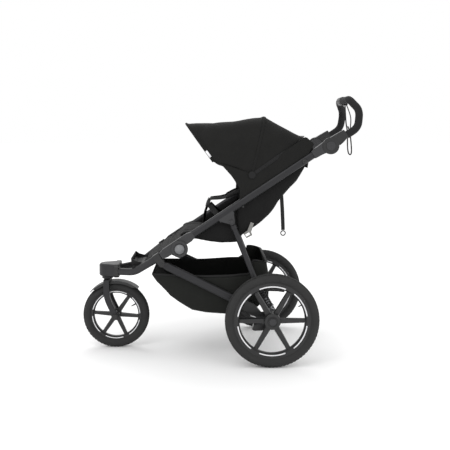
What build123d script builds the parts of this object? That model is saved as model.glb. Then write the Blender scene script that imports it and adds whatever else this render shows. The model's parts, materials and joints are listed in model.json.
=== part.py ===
"""Three-wheel jogging stroller.

Millimetres, +Z up, the child faces -X, the left side is -Y. The origin is on the floor under the middle of the
stroller. Pieces are named as on a parts list; left and right pieces mirror each other about the XZ plane.
"""

from math import atan2, cos, degrees, hypot, pi, radians, sin, sqrt
import os

from build123d import *

os.makedirs("parts", exist_ok=True)

# ---------------------------------------------------------------- driving dimensions
# wheels
track = 620  # between the middles of the rear tyres
rear_wheel_r = 200
rear_tyre_w = 47
rear_rim_r = 161  # where tyre and rim meet
front_wheel_r = 152.5
front_tyre_w = 44
front_rim_r = 114
spoke_count = 6
rear_axle_x = 224.4
front_axle_x = -470.0

# rails: an upper frame and a front frame that meet at the fold axis
fold_x, fold_z = -168.0, 490.0
rail_angle = 33.64  # slope of the upper rails, degrees
rail_half = 200.0  # middle of a rail from the middle of the stroller
rail_offset = 18.6  # rails run this far above the fold axis
tube_h, tube_w, tube_wall = 33.0, 24.0, 2.0
handle_s, handle_n = 786.6, 9.3  # handle pivot, measured along and across the rails

# fold hinge
ear_r = 30.0
ear_t = 11.6
hinge_pin_r = 9.0
fold_disc_r = 36.5
housing_len = 62.0
housing_top = 39.0

# steering
steer_x = -509.0
head_z0, head_z1 = 336.0, 394.0
stem_r = 11.0
blade_y = 44.0  # middle of a fork blade from the middle
blade_t, blade_w = 12.0, 27.0

# rear frame and suspension
chassis_pivot = (-246.0, 424.0)
rear_inset = 70.0  # from the middle of a rear tyre in to the swing arm
swing_y = track / 2 - rear_inset
chassis_front_y, chassis_rear_y = rail_half, swing_y
chassis_h, chassis_w = 35.0, 22.0
swing_pivot = (177.0, 203.0)
strut_pivot = (56.0, 608.0)
shock_top = (160.0, 350.0)
shock_eye = (231.0, 226.0)
strut_r = 12.0
cross_share = 0.61  # place of the cross tube along the struts

# handlebar
bar_r = 12.5
grip_r = 16.5
hub_r = 36.0

# canopy
canopy_pivot = (144.0, 809.0)
bow_r = 3.7
canopy_wall = 3.0
canopy_half = rail_half + tube_w / 2

# clearances
run_fit = 0.05  # radial, shaft in its bore
seat_fit = 0.2  # pieces that sit in or on each other
soft_gap = 0.3  # cloth and the piece that carries it

cosr, sinr = cos(radians(rail_angle)), sin(radians(rail_angle))


# ---------------------------------------------------------------- helpers
def rail(s, n=0.0):
    """X and Z of a point s along the rails from the fold axis and n across them."""
    return (fold_x + s * cosr - n * sinr, fold_z + s * sinr + n * cosr)


def rail_plane(y):
    """Sketch plane at lateral place -y with its x along the rails and its origin on the fold axis."""
    return Plane(origin=(fold_x, -y, fold_z), x_dir=(cosr, 0, sinr), z_dir=(0, -1, 0))


def side_plane(y, at=(0.0, 0.0)):
    """Upright fore-and-aft sketch plane at lateral place -y; its x is +X and its y is +Z."""
    return Plane(origin=(at[0], -y, at[1]), x_dir=(1, 0, 0), z_dir=(0, -1, 0))


def cross_plane(start, end):
    """Plane at start, facing end, with its x towards +Y."""
    return Plane(origin=start, x_dir=_level(start, end), z_dir=tuple(b - a for a, b in zip(start, end)))


def _level(start, end):
    """A direction square to the line from start to end and as near to +Y as it can be."""
    d = Vector(*end) - Vector(*start)
    d = d.normalized()
    level = Vector(0, 1, 0) - d * d.Y
    return (level.X, level.Y, level.Z)


def length_of(start, end):
    return sqrt(sum((b - a) ** 2 for a, b in zip(start, end)))


def both_sides(left_part):
    """Adds the mirrored copy of the left piece, as a second solid of the same node."""
    mirror(left_part, about=Plane.XZ)


def save(builder, label):
    """Labels the finished piece and writes its STEP file."""
    builder.part.label = label
    export_step(builder.part, f"parts/{label}.step")


def rounded_tube(height, width, grow=0.0):
    """The rails' section: flat sides and half-round top and bottom, standing along the sketch's y."""
    SlotOverall(height + 2 * grow, width + 2 * grow, rotation=90)


# ================================================================ UPPER FRAME
rail_start_s, rail_end_s = 34.0, handle_s - hub_r - 4

with BuildPart() as main_tubes:
    x0, z0 = rail(rail_start_s, rail_offset)
    x1, z1 = rail(rail_end_s, rail_offset)
    with BuildSketch(cross_plane((x0, -rail_half, z0), (x1, -rail_half, z1))):
        rounded_tube(tube_h, tube_w)
        with Locations((0, 0)):
            SlotOverall(tube_h - 2 * tube_wall, tube_w - 2 * tube_wall, rotation=90, mode=Mode.SUBTRACT)
    extrude(amount=rail_end_s - rail_start_s)
    both_sides(main_tubes.part)
save(main_tubes, "main_tubes")

# moulded ends of the rails that carry the inner ears of the fold hinge
housing_in, housing_out = rail_half - tube_w / 2 + 0.1, rail_half + 14.0


def hinge_half(sign, ear_from, ear_to):
    """One half of a fold hinge: a sleeve on the rail's end and an ear round the fold axis."""
    a, b, c = sign * 0.3, sign * housing_len, sign * (housing_len + 22)
    with BuildSketch(rail_plane(housing_in)) as sleeve:
        with BuildLine():
            Polyline((a, -1), (b, -1), (c, 5), (c, 33), (b, housing_top), (a, housing_top), (a, -1))
        make_face()
        Circle(ear_r + 0.6, mode=Mode.SUBTRACT)
    extrude(sleeve.sketch, amount=housing_out - housing_in)
    with BuildSketch(rail_plane(ear_from)) as ear:
        Circle(ear_r)
        with Locations((sign * (ear_r + 2) / 2, ear_r / 2 + 4)):
            Rectangle(ear_r + 2 - 0.6, ear_r - 4)
    extrude(ear.sketch, amount=ear_to - ear_from)


ear_gap = 0.25
inner_ear = (housing_in, rail_half - ear_gap)
outer_ear = (rail_half + ear_gap, housing_out)

with BuildPart() as hinge_housings:
    hinge_half(1, *inner_ear)
    x0, z0 = rail(rail_start_s - 1, rail_offset)
    x1, z1 = rail(rail_end_s, rail_offset)
    with BuildSketch(cross_plane((x0, -rail_half, z0), (x1, -rail_half, z1))):
        rounded_tube(tube_h, tube_w, seat_fit)
    extrude(amount=120, mode=Mode.SUBTRACT)
    with BuildSketch(rail_plane(housing_in - 1)):
        Circle(hinge_pin_r + seat_fit)
    extrude(amount=40, mode=Mode.SUBTRACT)
    fillet(hinge_housings.edges().filter_by(GeomType.LINE).filter_by(Axis.Y).group_by(Axis.Z)[-1], 6)
    both_sides(hinge_housings.part)
save(hinge_housings, "hinge_housings")

# tube on the fold axis that ties the two hinges together
with BuildPart() as hinge_cross_tube:
    with BuildSketch(side_plane(housing_out - 0.8, (fold_x, fold_z))):
        Circle(hinge_pin_r)
        Circle(hinge_pin_r - 2, mode=Mode.SUBTRACT)
    extrude(amount=-2 * (housing_out - 0.8))
save(hinge_cross_tube, "hinge_cross_tube")

# moulded hubs at the rails' upper ends: an inner cheek on the rail, with the tilt pin of the handlebar
hub_in, hub_mid, hub_out = rail_half - 12.9, rail_half + 4.0, rail_half + 17.0
hub_gap = 0.3
pin_short = 2.0  # the tilt pin ends this far under the floor of the button's recess
inner_cheek_r = hub_r - 6
tilt_pin_r = 7.0
button_r, button_recess = 20.0, 8.5


def hub_half(sign, thin_from, thin_to, thin_r, other_r):
    """One half of a tilt hub: a sleeve on its tube and a thin cheek round the pivot."""
    with BuildSketch(rail_plane(hub_in)) as sleeve:
        with BuildLine():
            a, b, c = handle_s, handle_s + sign * 50, handle_s + sign * 84
            Polyline((a, handle_n - 20), (b, -3 - sign), (c, 1), (c, 36), (b, 38.5), (a, handle_n + 32),
                     (a, handle_n - 20))
        make_face()
        with Locations((handle_s, handle_n)):
            Circle(other_r + 0.6, mode=Mode.SUBTRACT)
    extrude(sleeve.sketch, amount=hub_out - 1 - hub_in)
    with BuildSketch(rail_plane(thin_from)) as cheek:
        with Locations((handle_s, handle_n)):
            Circle(thin_r)
        with Locations((handle_s + sign * (other_r + 2) / 2, handle_n + 2)):
            Rectangle(other_r + 2, 34)
    extrude(cheek.sketch, amount=thin_to - thin_from)


with BuildPart() as handle_hubs:
    hub_half(-1, hub_in, hub_mid, inner_cheek_r, hub_r)
    x0, z0 = rail(rail_start_s, rail_offset)
    x1, z1 = rail(rail_end_s, rail_offset)
    with BuildSketch(cross_plane((x0, -rail_half, z0), (x1, -rail_half, z1))):
        rounded_tube(tube_h, tube_w, seat_fit)
    extrude(amount=rail_end_s - rail_start_s + seat_fit, mode=Mode.SUBTRACT)
    with BuildSketch(rail_plane(hub_mid - 2)):
        with Locations((handle_s, handle_n)):
            Circle(tilt_pin_r)
    extrude(amount=hub_out - button_recess - hub_mid + 2 - pin_short)
    both_sides(handle_hubs.part)
save(handle_hubs, "handle_hubs")

# clamp brackets under the rails that carry the struts' upper pivots, each with its pivot bolt
bracket_t = 3.0
bracket_in = rail_half - tube_w / 2 + 0.2
strut_boss_w = tube_w - 2 * bracket_t - 1.0

with BuildPart() as strut_brackets:
    strut_s = (strut_pivot[0] - fold_x) * cosr + (strut_pivot[1] - fold_z) * sinr
    strut_n = -(strut_pivot[0] - fold_x) * sinr + (strut_pivot[1] - fold_z) * cosr
    for near, far in ((bracket_in, bracket_in + bracket_t), (2 * rail_half - bracket_in - bracket_t,
                                                            2 * rail_half - bracket_in)):
        with BuildSketch(rail_plane(near)):
            with BuildLine():
                Polyline(
                    (strut_s - 42, 3), (strut_s - 14, strut_n - 4), (strut_s + 14, strut_n - 4), (strut_s + 30, 3),
                    (strut_s - 42, 3),
                )
            make_face()
            with Locations((strut_s, strut_n)):
                Circle(14)
        extrude(amount=far - near)
    with BuildSketch(rail_plane(bracket_in)):
        with Locations((strut_s - 6, 8)):
            Rectangle(72, 22)
    extrude(amount=2 * (rail_half - bracket_in))
    x0, z0 = rail(rail_start_s, rail_offset)
    x1, z1 = rail(rail_end_s, rail_offset)
    with BuildSketch(cross_plane((x0, -rail_half, z0), (x1, -rail_half, z1))):
        rounded_tube(tube_h, tube_w, seat_fit)
    extrude(amount=rail_end_s - rail_start_s, mode=Mode.SUBTRACT)
    with BuildSketch(rail_plane(bracket_in + 0.5)):
        with Locations((strut_s, strut_n)):
            Circle(5)
    extrude(amount=2 * (rail_half - bracket_in) + 3)
    with BuildSketch(rail_plane(2 * rail_half - bracket_in)):
        with Locations((strut_s, strut_n)):
            Circle(8)
    extrude(amount=4)
    both_sides(strut_brackets.part)
save(strut_brackets, "strut_brackets")

# ================================================================ FRONT FRAME
front_tube_path = (
    (*rail(-rail_start_s, rail_offset), rail_half),
    (*rail(-104, rail_offset), rail_half),
    (-376.0, 369.5, 0.53 * rail_half),
    (-490.0, 359.0, 26.5),
)
front_bend_radii = (120.0, 150.0)
front_route = [(x, -y, z) for x, z, y in front_tube_path]

with BuildPart(mode=Mode.PRIVATE) as front_tube_bore:
    with BuildLine() as route:
        FilletPolyline(*front_route, radius=list(front_bend_radii))
    with BuildSketch(cross_plane(front_route[0], front_route[1])):
        rounded_tube(tube_h, tube_w, seat_fit)
    sweep(path=route.line)

with BuildPart() as front_tubes:
    with BuildLine() as route:
        FilletPolyline(*front_route, radius=list(front_bend_radii))
    with BuildSketch(cross_plane(front_route[0], front_route[1])):
        rounded_tube(tube_h, tube_w)
        SlotOverall(tube_h - 2 * tube_wall, tube_w - 2 * tube_wall, rotation=90, mode=Mode.SUBTRACT)
    sweep(path=route.line)
    both_sides(front_tubes.part)
save(front_tubes, "front_tubes")

with BuildPart() as front_hinges:
    hinge_half(-1, *outer_ear)
    add(front_tube_bore.part, mode=Mode.SUBTRACT)
    with BuildSketch(rail_plane(housing_in - 1)):
        Circle(hinge_pin_r + run_fit)
    extrude(amount=40, mode=Mode.SUBTRACT)
    both_sides(front_hinges.part)
save(front_hinges, "front_hinges")

# round caps over the fold hinges
with BuildPart() as fold_discs:
    with BuildSketch(side_plane(housing_out + seat_fit, (fold_x, fold_z))):
        Circle(fold_disc_r)
    extrude(amount=7)
    chamfer(fold_discs.faces().sort_by(Axis.Y)[0].edges(), 2.5)
    with BuildSketch(side_plane(housing_out + seat_fit + 7, (fold_x, fold_z))):
        Circle(25)
        Circle(22.5, mode=Mode.SUBTRACT)
    extrude(amount=-2.5, mode=Mode.SUBTRACT)
    with BuildSketch(side_plane(housing_out + seat_fit + 7, (fold_x, fold_z))):
        Circle(22)
    extrude(amount=3)
    chamfer(fold_discs.faces().sort_by(Axis.Y)[0].edges(), 1)
    both_sides(fold_discs.part)
save(fold_discs, "fold_discs")

# cast steering head: both front tubes run into it, the fork's stem turns in it
head_rear_x, head_nose_x = -470.0, -546.0
with BuildPart() as front_head:
    with BuildSketch(Plane.XY.offset(head_z0)):
        with BuildLine():
            Line((head_rear_x, -60), (head_rear_x, 60))
            Line((head_rear_x, 60), (-508, 42))
            ThreePointArc((-508, 42), (head_nose_x, 0), (-508, -42))
            Line((-508, -42), (head_rear_x, -60))
        make_face()
    extrude(amount=head_z1 - head_z0)
    fillet(front_head.faces().sort_by(Axis.Z)[-1].edges().filter_by(lambda e: e.center().X < head_rear_x - 1), 11)
    fillet(front_head.faces().sort_by(Axis.Z)[0].edges().filter_by(lambda e: e.center().X < head_rear_x - 1), 8)
    with BuildSketch(Plane.XY.offset(head_z0 - 12)):
        with Locations((steer_x, 0)):
            Circle(25)
    extrude(amount=14)
    with BuildSketch(Plane.XY.offset(head_z0 - 13)):
        with Locations((steer_x, 0)):
            Circle(stem_r + run_fit)
    extrude(amount=head_z1 - head_z0, mode=Mode.SUBTRACT)
    add(front_tube_bore.part, mode=Mode.SUBTRACT)
    add(mirror(front_tube_bore.part, about=Plane.XZ), mode=Mode.SUBTRACT)
save(front_head, "front_head")

# moulded collar that closes the back of the head round the tubes
with BuildPart() as head_collar:
    with BuildSketch(Plane(origin=(head_rear_x + seat_fit, 0, (head_z0 + head_z1) / 2), x_dir=(0, 1, 0),
                           z_dir=(1, 0, 0))):
        RectangleRounded(134, head_z1 - head_z0 + 4, 18)
    extrude(amount=20)
    chamfer(head_collar.faces().sort_by(Axis.X)[-1].edges(), 3)
    add(front_tube_bore.part, mode=Mode.SUBTRACT)
    add(mirror(front_tube_bore.part, about=Plane.XZ), mode=Mode.SUBTRACT)
save(head_collar, "head_collar")

# brackets under the front tubes with the pins that the rear frame swings on
chassis_pin_r = 5.0
chassis_cheek = chassis_w / 2 + 0.3
chassis_cheek_t = 3.0
chassis_s = (chassis_pivot[0] - fold_x) * cosr + (chassis_pivot[1] - fold_z) * sinr
chassis_n = -(chassis_pivot[0] - fold_x) * sinr + (chassis_pivot[1] - fold_z) * cosr
with BuildPart() as chassis_brackets:
    for start in (rail_half - chassis_cheek - chassis_cheek_t, rail_half + chassis_cheek):
        with BuildSketch(rail_plane(start)):
            with BuildLine():
                Polyline((chassis_s - 16, 20), (chassis_s - 13, chassis_n), (chassis_s + 13, chassis_n),
                         (chassis_s + 14, 20), (chassis_s - 16, 20))
            make_face()
            with Locations((chassis_s, chassis_n)):
                Circle(13)
        extrude(amount=chassis_cheek_t)
    with BuildSketch(rail_plane(rail_half - chassis_cheek - chassis_cheek_t)):
        with Locations((chassis_s - 1, 28)):
            Rectangle(30, 20)
    extrude(amount=2 * (chassis_cheek + chassis_cheek_t))
    add(front_tube_bore.part, mode=Mode.SUBTRACT)
    with BuildSketch(rail_plane(rail_half - chassis_cheek - chassis_cheek_t)):
        with Locations((chassis_s, chassis_n)):
            Circle(chassis_pin_r)
    extrude(amount=2 * (chassis_cheek + chassis_cheek_t) + 2)
    both_sides(chassis_brackets.part)
save(chassis_brackets, "chassis_brackets")

# moulded footrest across the front tubes
footrest_half = 0.5 * rail_half
lug_y = footrest_half + 5
with BuildPart() as footrest:
    with BuildSketch(side_plane(footrest_half)):
        with BuildLine():
            Polyline((-336, 401), (-336, 405), (-376, 402), (-384, 408), (-386, 431), (-390, 431), (-388, 402),
                     (-380, 397.5), (-336, 401))
        make_face()
    extrude(amount=-2 * footrest_half)
    for y in (footrest_half, -footrest_half + 4):
        with BuildSketch(side_plane(y)):
            with BuildLine():
                Polyline((-336, 401), (-336, 410), (-372, 420), (-386, 431), (-388, 402), (-380, 397.5), (-336, 401))
            make_face()
        extrude(amount=-4)
    with Locations((-362, 0, 400)):
        with GridLocations(0, 0.34 * footrest_half, 1, 5):
            Box(26, 10, 20, mode=Mode.SUBTRACT)
    with BuildSketch(Plane.XY.offset(372)):
        for side in (-1, 1):
            with Locations((-366, lug_y * side)):
                Rectangle(34, 24)
    extrude(amount=29)
    add(front_tube_bore.part, mode=Mode.SUBTRACT)
    mirror(front_tube_bore.part, about=Plane.XZ, mode=Mode.SUBTRACT)
save(footrest, "footrest")

# padded leg rest between the front tubes, as wide as the gap between them at each place
leg_wide, leg_mid, leg_low = rail_half - tube_w / 2 - 0.4, rail_half - tube_w / 2 - 2.6, 0.58 * rail_half
with BuildPart() as leg_rest:
    with BuildSketch(side_plane(200)):
        with BuildLine():
            top = [rail(-4, 32), rail(-60, 33), rail(-112, 32), (-300, 438), (-332, 413)]
            low = [(-328, 396), (-294, 414), rail(-112, 6), rail(-60, 7), rail(-36, 8)]
            Polyline(*top, *low, top[0])
        make_face()
    extrude(amount=-400)
    with BuildSketch(Plane.XY.offset(380)):
        with BuildLine():
            left = [(-160, leg_wide), (-222, leg_wide), (-223, leg_mid), (-250, leg_mid), (-333, leg_low)]
            Polyline(*left, *[(x, -y) for x, y in reversed(left)], left[0])
        make_face()
    extrude(amount=200, mode=Mode.INTERSECT)
save(leg_rest, "leg_rest")

# ================================================================ FORK AND FRONT WHEEL
crown_z0, crown_z1 = 312.0, 321.0
front_spindle_r = 6.0
with BuildPart() as fork:
    with BuildSketch(side_plane(blade_y + blade_t / 2)):
        with BuildLine():
            half = blade_w / 2
            Line((steer_x - half, crown_z1), (steer_x - half, 268))
            Bezier((steer_x - half, 268), (steer_x - half, 220), (-498, 190), (front_axle_x - 13, 150))
            RadiusArc((front_axle_x - 13, 150), (front_axle_x + 13, 157), -14)
            Bezier((front_axle_x + 13, 157), (-472, 195), (steer_x + half, 225), (steer_x + half, 268))
            Line((steer_x + half, 268), (steer_x + half, crown_z1))
            Line((steer_x + half, crown_z1), (steer_x - half, crown_z1))
        make_face()
    extrude(amount=-blade_t)
    fillet(fork.faces().sort_by(Axis.Y)[0].edges().filter_by(GeomType.LINE).filter_by(Axis.Z), 2.5)
    both_sides(fork.part)
    with BuildSketch(Plane.XY.offset(crown_z0)):
        with Locations((steer_x, 0)):
            RectangleRounded(blade_w, 2 * blade_y + blade_t, 5)
    extrude(amount=crown_z1 - crown_z0)
    with BuildSketch(Plane.XY.offset(crown_z1)):
        with Locations((steer_x, 0)):
            Circle(20)
    extrude(amount=head_z0 - 12 - soft_gap - crown_z1, taper=20)
    with BuildSketch(Plane.XY.offset(crown_z1)):
        with Locations((steer_x, 0)):
            Circle(stem_r)
    extrude(amount=head_z1 - 15 - crown_z1)
    with BuildSketch(side_plane(blade_y + blade_t / 2 + 1, (front_axle_x, front_wheel_r))):
        Circle(front_spindle_r + seat_fit)
    extrude(amount=-2 * (blade_y + blade_t / 2 + 1), mode=Mode.SUBTRACT)
save(fork, "fork")

with BuildPart() as front_axle:
    with BuildSketch(side_plane(blade_y + blade_t / 2 + 2, (front_axle_x, front_wheel_r))):
        Circle(front_spindle_r)
    extrude(amount=-2 * (blade_y + blade_t / 2 + 2))
    for side in (-1, 1):
        y0 = side * (blade_y + blade_t / 2 + seat_fit)
        with BuildSketch(side_plane(-y0, (front_axle_x, front_wheel_r))):
            Circle(13)
        extrude(amount=-side * 7)
    chamfer(front_axle.faces().sort_by(Axis.Y)[0].edges() + front_axle.faces().sort_by(Axis.Y)[-1].edges(), 2)
save(front_axle, "front_axle")

fender_r, fender_t, fender_half = 157.5, 3.0, 29.0
with BuildPart() as front_fender:
    with BuildSketch(side_plane(fender_half, (front_axle_x, front_wheel_r))) as guard:
        with BuildLine():
            a0, a1 = 50.0, 137.0
            CenterArc((0, 0), fender_r, a0, a1 - a0)
            CenterArc((0, 0), fender_r + fender_t, a0, a1 - a0)
            for a in (a0, a1):
                Line(
                    (fender_r * cos(radians(a)), fender_r * sin(radians(a))),
                    ((fender_r + fender_t) * cos(radians(a)), (fender_r + fender_t) * sin(radians(a))),
                )
        make_face()
    extrude(amount=-2 * fender_half)
    for y in (fender_half, -fender_half + 2.5):
        with BuildSketch(side_plane(y, (front_axle_x, front_wheel_r))):
            with BuildLine():
                b0, b1 = 54.0, 131.0
                CenterArc((0, 0), fender_r + 1, b0, b1 - b0)
                CenterArc((0, 0), fender_r - 9, b0 + 6, b1 - b0 - 12)
                for a, b in ((b0, b0 + 6), (b1, b1 - 6)):
                    Line(
                        ((fender_r + 1) * cos(radians(a)), (fender_r + 1) * sin(radians(a))),
                        ((fender_r - 9) * cos(radians(b)), (fender_r - 9) * sin(radians(b))),
                    )
            make_face()
        extrude(amount=-2.5)
    with BuildSketch(Plane.XY.offset(crown_z0 - seat_fit)):
        with Locations((steer_x, 0)):
            Circle(10)
    extrude(amount=-5.5)
save(front_fender, "front_fender")


# wheels are drawn round the origin with their axle along +Z, which becomes the outward side
def tyre_solid(outer_r, rim_r, width):
    """A tubeless tyre: a round crown and side walls that tuck in to the rim."""
    half = width / 2
    bead = 0.62 * half
    with BuildPart() as tyre:
        with BuildSketch(Plane.XZ):
            with BuildLine():
                Line((rim_r, -bead), (rim_r, bead))
                Line((rim_r, bead), (rim_r + 4, bead + 1.5))
                ThreePointArc((rim_r + 4, bead + 1.5), ((outer_r + rim_r) / 2, half), (outer_r - 7, 0.74 * half))
                ThreePointArc((outer_r - 7, 0.74 * half), (outer_r, 0), (outer_r - 7, -0.74 * half))
                ThreePointArc((outer_r - 7, -0.74 * half), ((outer_r + rim_r) / 2, -half), (rim_r + 4, -bead - 1.5))
                Line((rim_r + 4, -bead - 1.5), (rim_r, -bead))
            make_face()
        revolve(axis=Axis.Z)
    return tyre.part


def rim_solid(rim_r, inner_r, width, hub_r_in, hub_z0, hub_z1, spoke_w, first_angle, bore_r):
    """A moulded wheel: a channel rim, a hub barrel and tapering spokes between them."""
    half = 0.62 * width / 2 - seat_fit
    with BuildPart() as rim:
        with BuildSketch(Plane.XZ):
            with BuildLine():
                Polyline(
                    (inner_r, -7), (inner_r + 6, -half), (rim_r - seat_fit, -half), (rim_r - seat_fit, half),
                    (inner_r + 6, half), (inner_r, 7), (inner_r, -7),
                )
            make_face()
        revolve(axis=Axis.Z)
        with BuildSketch(Plane.XY.offset(hub_z0)):
            Circle(hub_r_in)
        extrude(amount=hub_z1 - hub_z0)
        chamfer(rim.edges().filter_by(GeomType.CIRCLE).filter_by(lambda e: e.radius < hub_r_in + 1), 2)
        spoke_start, spoke_end = 0.6 * hub_r_in, inner_r + 3
        with BuildPart(mode=Mode.PRIVATE) as spoke:
            with BuildSketch(Plane.XY):
                with BuildLine():
                    Polyline((spoke_start, -0.66 * spoke_w), (spoke_end, -0.5 * spoke_w), (spoke_end, 0.5 * spoke_w),
                             (spoke_start, 0.66 * spoke_w), (spoke_start, -0.66 * spoke_w))
                make_face()
            extrude(amount=8, both=True, taper=18)
        with PolarLocations(0, spoke_count, start_angle=first_angle):
            add(spoke.part)
        with BuildSketch(Plane.XY.offset(hub_z0 - 1)):
            Circle(bore_r)
        extrude(amount=hub_z1 - hub_z0 + 2, mode=Mode.SUBTRACT)
    return rim.part


def wheel_place(x, y, z):
    """Where a wheel on the left goes: its +Z turns to -Y, its +X stays fore-and-aft."""
    return Plane(origin=(x, y, z), x_dir=(1, 0, 0), z_dir=(0, -1, 0)).location


front_place = wheel_place(front_axle_x, 0, front_wheel_r)
front_hub_half = blade_y - blade_t / 2 - 1.0
with BuildPart() as front_tyre:
    add(front_place * tyre_solid(front_wheel_r, front_rim_r, front_tyre_w))
save(front_tyre, "front_tyre")

with BuildPart() as front_rim:
    add(front_place * rim_solid(front_rim_r, 101, front_tyre_w, 20, -front_hub_half, front_hub_half, 17, -5,
                                front_spindle_r + run_fit))
save(front_rim, "front_rim")

# ================================================================ REAR FRAME
chassis_rear = (150.0, 233.0)
tongue_len = 26.0
slope = ((chassis_rear[0] - chassis_pivot[0]), (chassis_rear_y - chassis_front_y), (chassis_rear[1] - chassis_pivot[1]))
slope_len = sqrt(sum(c * c for c in slope))
chassis_start = (
    chassis_pivot[0] + slope[0] * tongue_len / slope_len,
    -(chassis_front_y + slope[1] * tongue_len / slope_len),
    chassis_pivot[1] + slope[2] * tongue_len / slope_len,
)
chassis_end = (chassis_rear[0], -chassis_rear_y, chassis_rear[1])
with BuildPart() as chassis_tubes:
    with BuildSketch(cross_plane(chassis_start, chassis_end)):
        rounded_tube(chassis_h, chassis_w)
        SlotOverall(chassis_h - 2 * tube_wall, chassis_w - 2 * tube_wall, rotation=90, mode=Mode.SUBTRACT)
    extrude(amount=length_of(chassis_start, chassis_end))
    with BuildSketch(side_plane(chassis_front_y - chassis_w / 2, chassis_pivot)):
        Circle(12)
        with BuildLine():
            a = degrees(atan2(slope[2], slope[0]))
            ca, sa = cos(radians(a)), sin(radians(a))
            local = [(0, 10), (tongue_len + 2, 15), (tongue_len + 30, 14), (tongue_len + 30, -14),
                     (tongue_len + 2, -15), (0, -10), (0, 10)]
            Polyline(*[(u * ca - v * sa, u * sa + v * ca) for u, v in local])
        make_face()
    extrude(amount=chassis_w)
    with BuildSketch(side_plane(chassis_front_y - chassis_w, chassis_pivot)):
        Circle(chassis_pin_r + run_fit)
    extrude(amount=2 * chassis_w, mode=Mode.SUBTRACT)
    both_sides(chassis_tubes.part)
save(chassis_tubes, "chassis_tubes")

# moulded ends of the rear frame with the swing arm's pivots
swing_pin_r = 5.0
arm_half = 12.0
end_half = 16.0
with BuildPart(mode=Mode.PRIVATE) as chassis_bore:
    with BuildSketch(cross_plane(chassis_start, chassis_end)):
        rounded_tube(chassis_h, chassis_w, seat_fit)
    extrude(amount=length_of(chassis_start, chassis_end) + seat_fit)

with BuildPart() as chassis_ends:
    with BuildSketch(side_plane(swing_y - end_half)):
        with BuildLine():
            Polyline((108, 279), (150, 258), (swing_pivot[0] + 15, swing_pivot[1] + 4),
                     (swing_pivot[0], swing_pivot[1] - 15), (145, 211), (94, 236), (108, 279))
        make_face()
        with Locations(swing_pivot):
            Circle(15)
    extrude(amount=2 * end_half)
    with BuildSketch(side_plane(swing_y - arm_half - soft_gap)):
        with Locations(swing_pivot):
            Circle(16)
        with Locations((swing_pivot[0] + 20, swing_pivot[1])):
            Rectangle(40, 60)
    extrude(amount=2 * (arm_half + soft_gap), mode=Mode.SUBTRACT)
    add(chassis_bore.part, mode=Mode.SUBTRACT)
    with BuildSketch(side_plane(swing_y - end_half, swing_pivot)):
        Circle(swing_pin_r)
    extrude(amount=2 * end_half + 3)
    both_sides(chassis_ends.part)
save(chassis_ends, "chassis_ends")

# swing arms: a boss on the pivot, one on the axle, and an open cradle that the shock absorber's eye rests in
axle_beam_r = 12.5
spindle_r = 6.0
eye_r = 9.0
cradle_play = 0.8
cradle_shift = (-4.9, -2.3)  # where the eye comes to lie when the folded suspension is pressed in
axle_place = (rear_axle_x, rear_wheel_r)
with BuildPart() as swing_arms:
    with BuildSketch(side_plane(swing_y - arm_half)):
        with BuildLine():
            Polyline((swing_pivot[0] - 2, swing_pivot[1] + 12.5), (210, 221), (214, 226), (222, 226), (240, 220),
                     (245, 214), (240, 200), (228, 184), (swing_pivot[0], swing_pivot[1] - 12.5),
                     (swing_pivot[0] - 2, swing_pivot[1] + 12.5))
        make_face()
        with Locations(swing_pivot):
            Circle(12.5)
        with Locations(axle_place):
            Circle(17)
        with BuildLine():
            shift_len = hypot(*cradle_shift)
            u, v = (eye_r + cradle_play) * cradle_shift[1] / shift_len, -(eye_r + cradle_play) * cradle_shift[0] / shift_len
            x0, z0 = shock_eye
            x1, z1 = x0 + cradle_shift[0], z0 + cradle_shift[1]
            Polyline((x0 - u, z0 - v), (x1 - u, z1 - v), (x1 + u, z1 + v), (x0 + u, z0 + v), (x0 - u, z0 - v))
        make_face(mode=Mode.SUBTRACT)
        with Locations((x0, z0), (x1, z1)):
            Circle(eye_r + cradle_play, mode=Mode.SUBTRACT)
    extrude(amount=2 * arm_half)
    with BuildSketch(side_plane(swing_y - arm_half - 1, swing_pivot)):
        Circle(swing_pin_r + run_fit)
    extrude(amount=2 * arm_half + 2, mode=Mode.SUBTRACT)
    with BuildSketch(side_plane(swing_y + arm_half, axle_place)):
        Circle(spindle_r)
    extrude(amount=track / 2 + 14 - swing_y - arm_half)
    both_sides(swing_arms.part)
save(swing_arms, "swing_arms")

with BuildPart() as axle_beam:
    with BuildSketch(side_plane(swing_y - arm_half - seat_fit, axle_place)):
        Circle(axle_beam_r)
        Circle(axle_beam_r - 2, mode=Mode.SUBTRACT)
    extrude(amount=-2 * (swing_y - arm_half - seat_fit))
save(axle_beam, "axle_beam")

# brake plates inside the rear wheels, with their callipers below the arms
hub_inner = 36.0  # from the wheel's middle to the hub's inner face
with BuildPart() as brake_housings:
    plate0, plate1 = swing_y + arm_half + seat_fit, track / 2 - hub_inner - 0.8
    with BuildSketch(side_plane(plate0, axle_place)):
        Circle(31)
        Circle(spindle_r + seat_fit, mode=Mode.SUBTRACT)
    extrude(amount=plate1 - plate0)
    chamfer(brake_housings.faces().sort_by(Axis.Y)[0].edges().sort_by(SortBy.RADIUS)[-1], 3)
    with BuildSketch(side_plane(swing_y - 4)):
        with BuildLine():
            Polyline((142, 152), (150, 172), (206, 178), (216, 168), (210, 148), (150, 146), (142, 152))
        make_face()
    extrude(amount=plate1 - swing_y + 4)
    both_sides(brake_housings.part)
save(brake_housings, "brake_housings")

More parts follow.
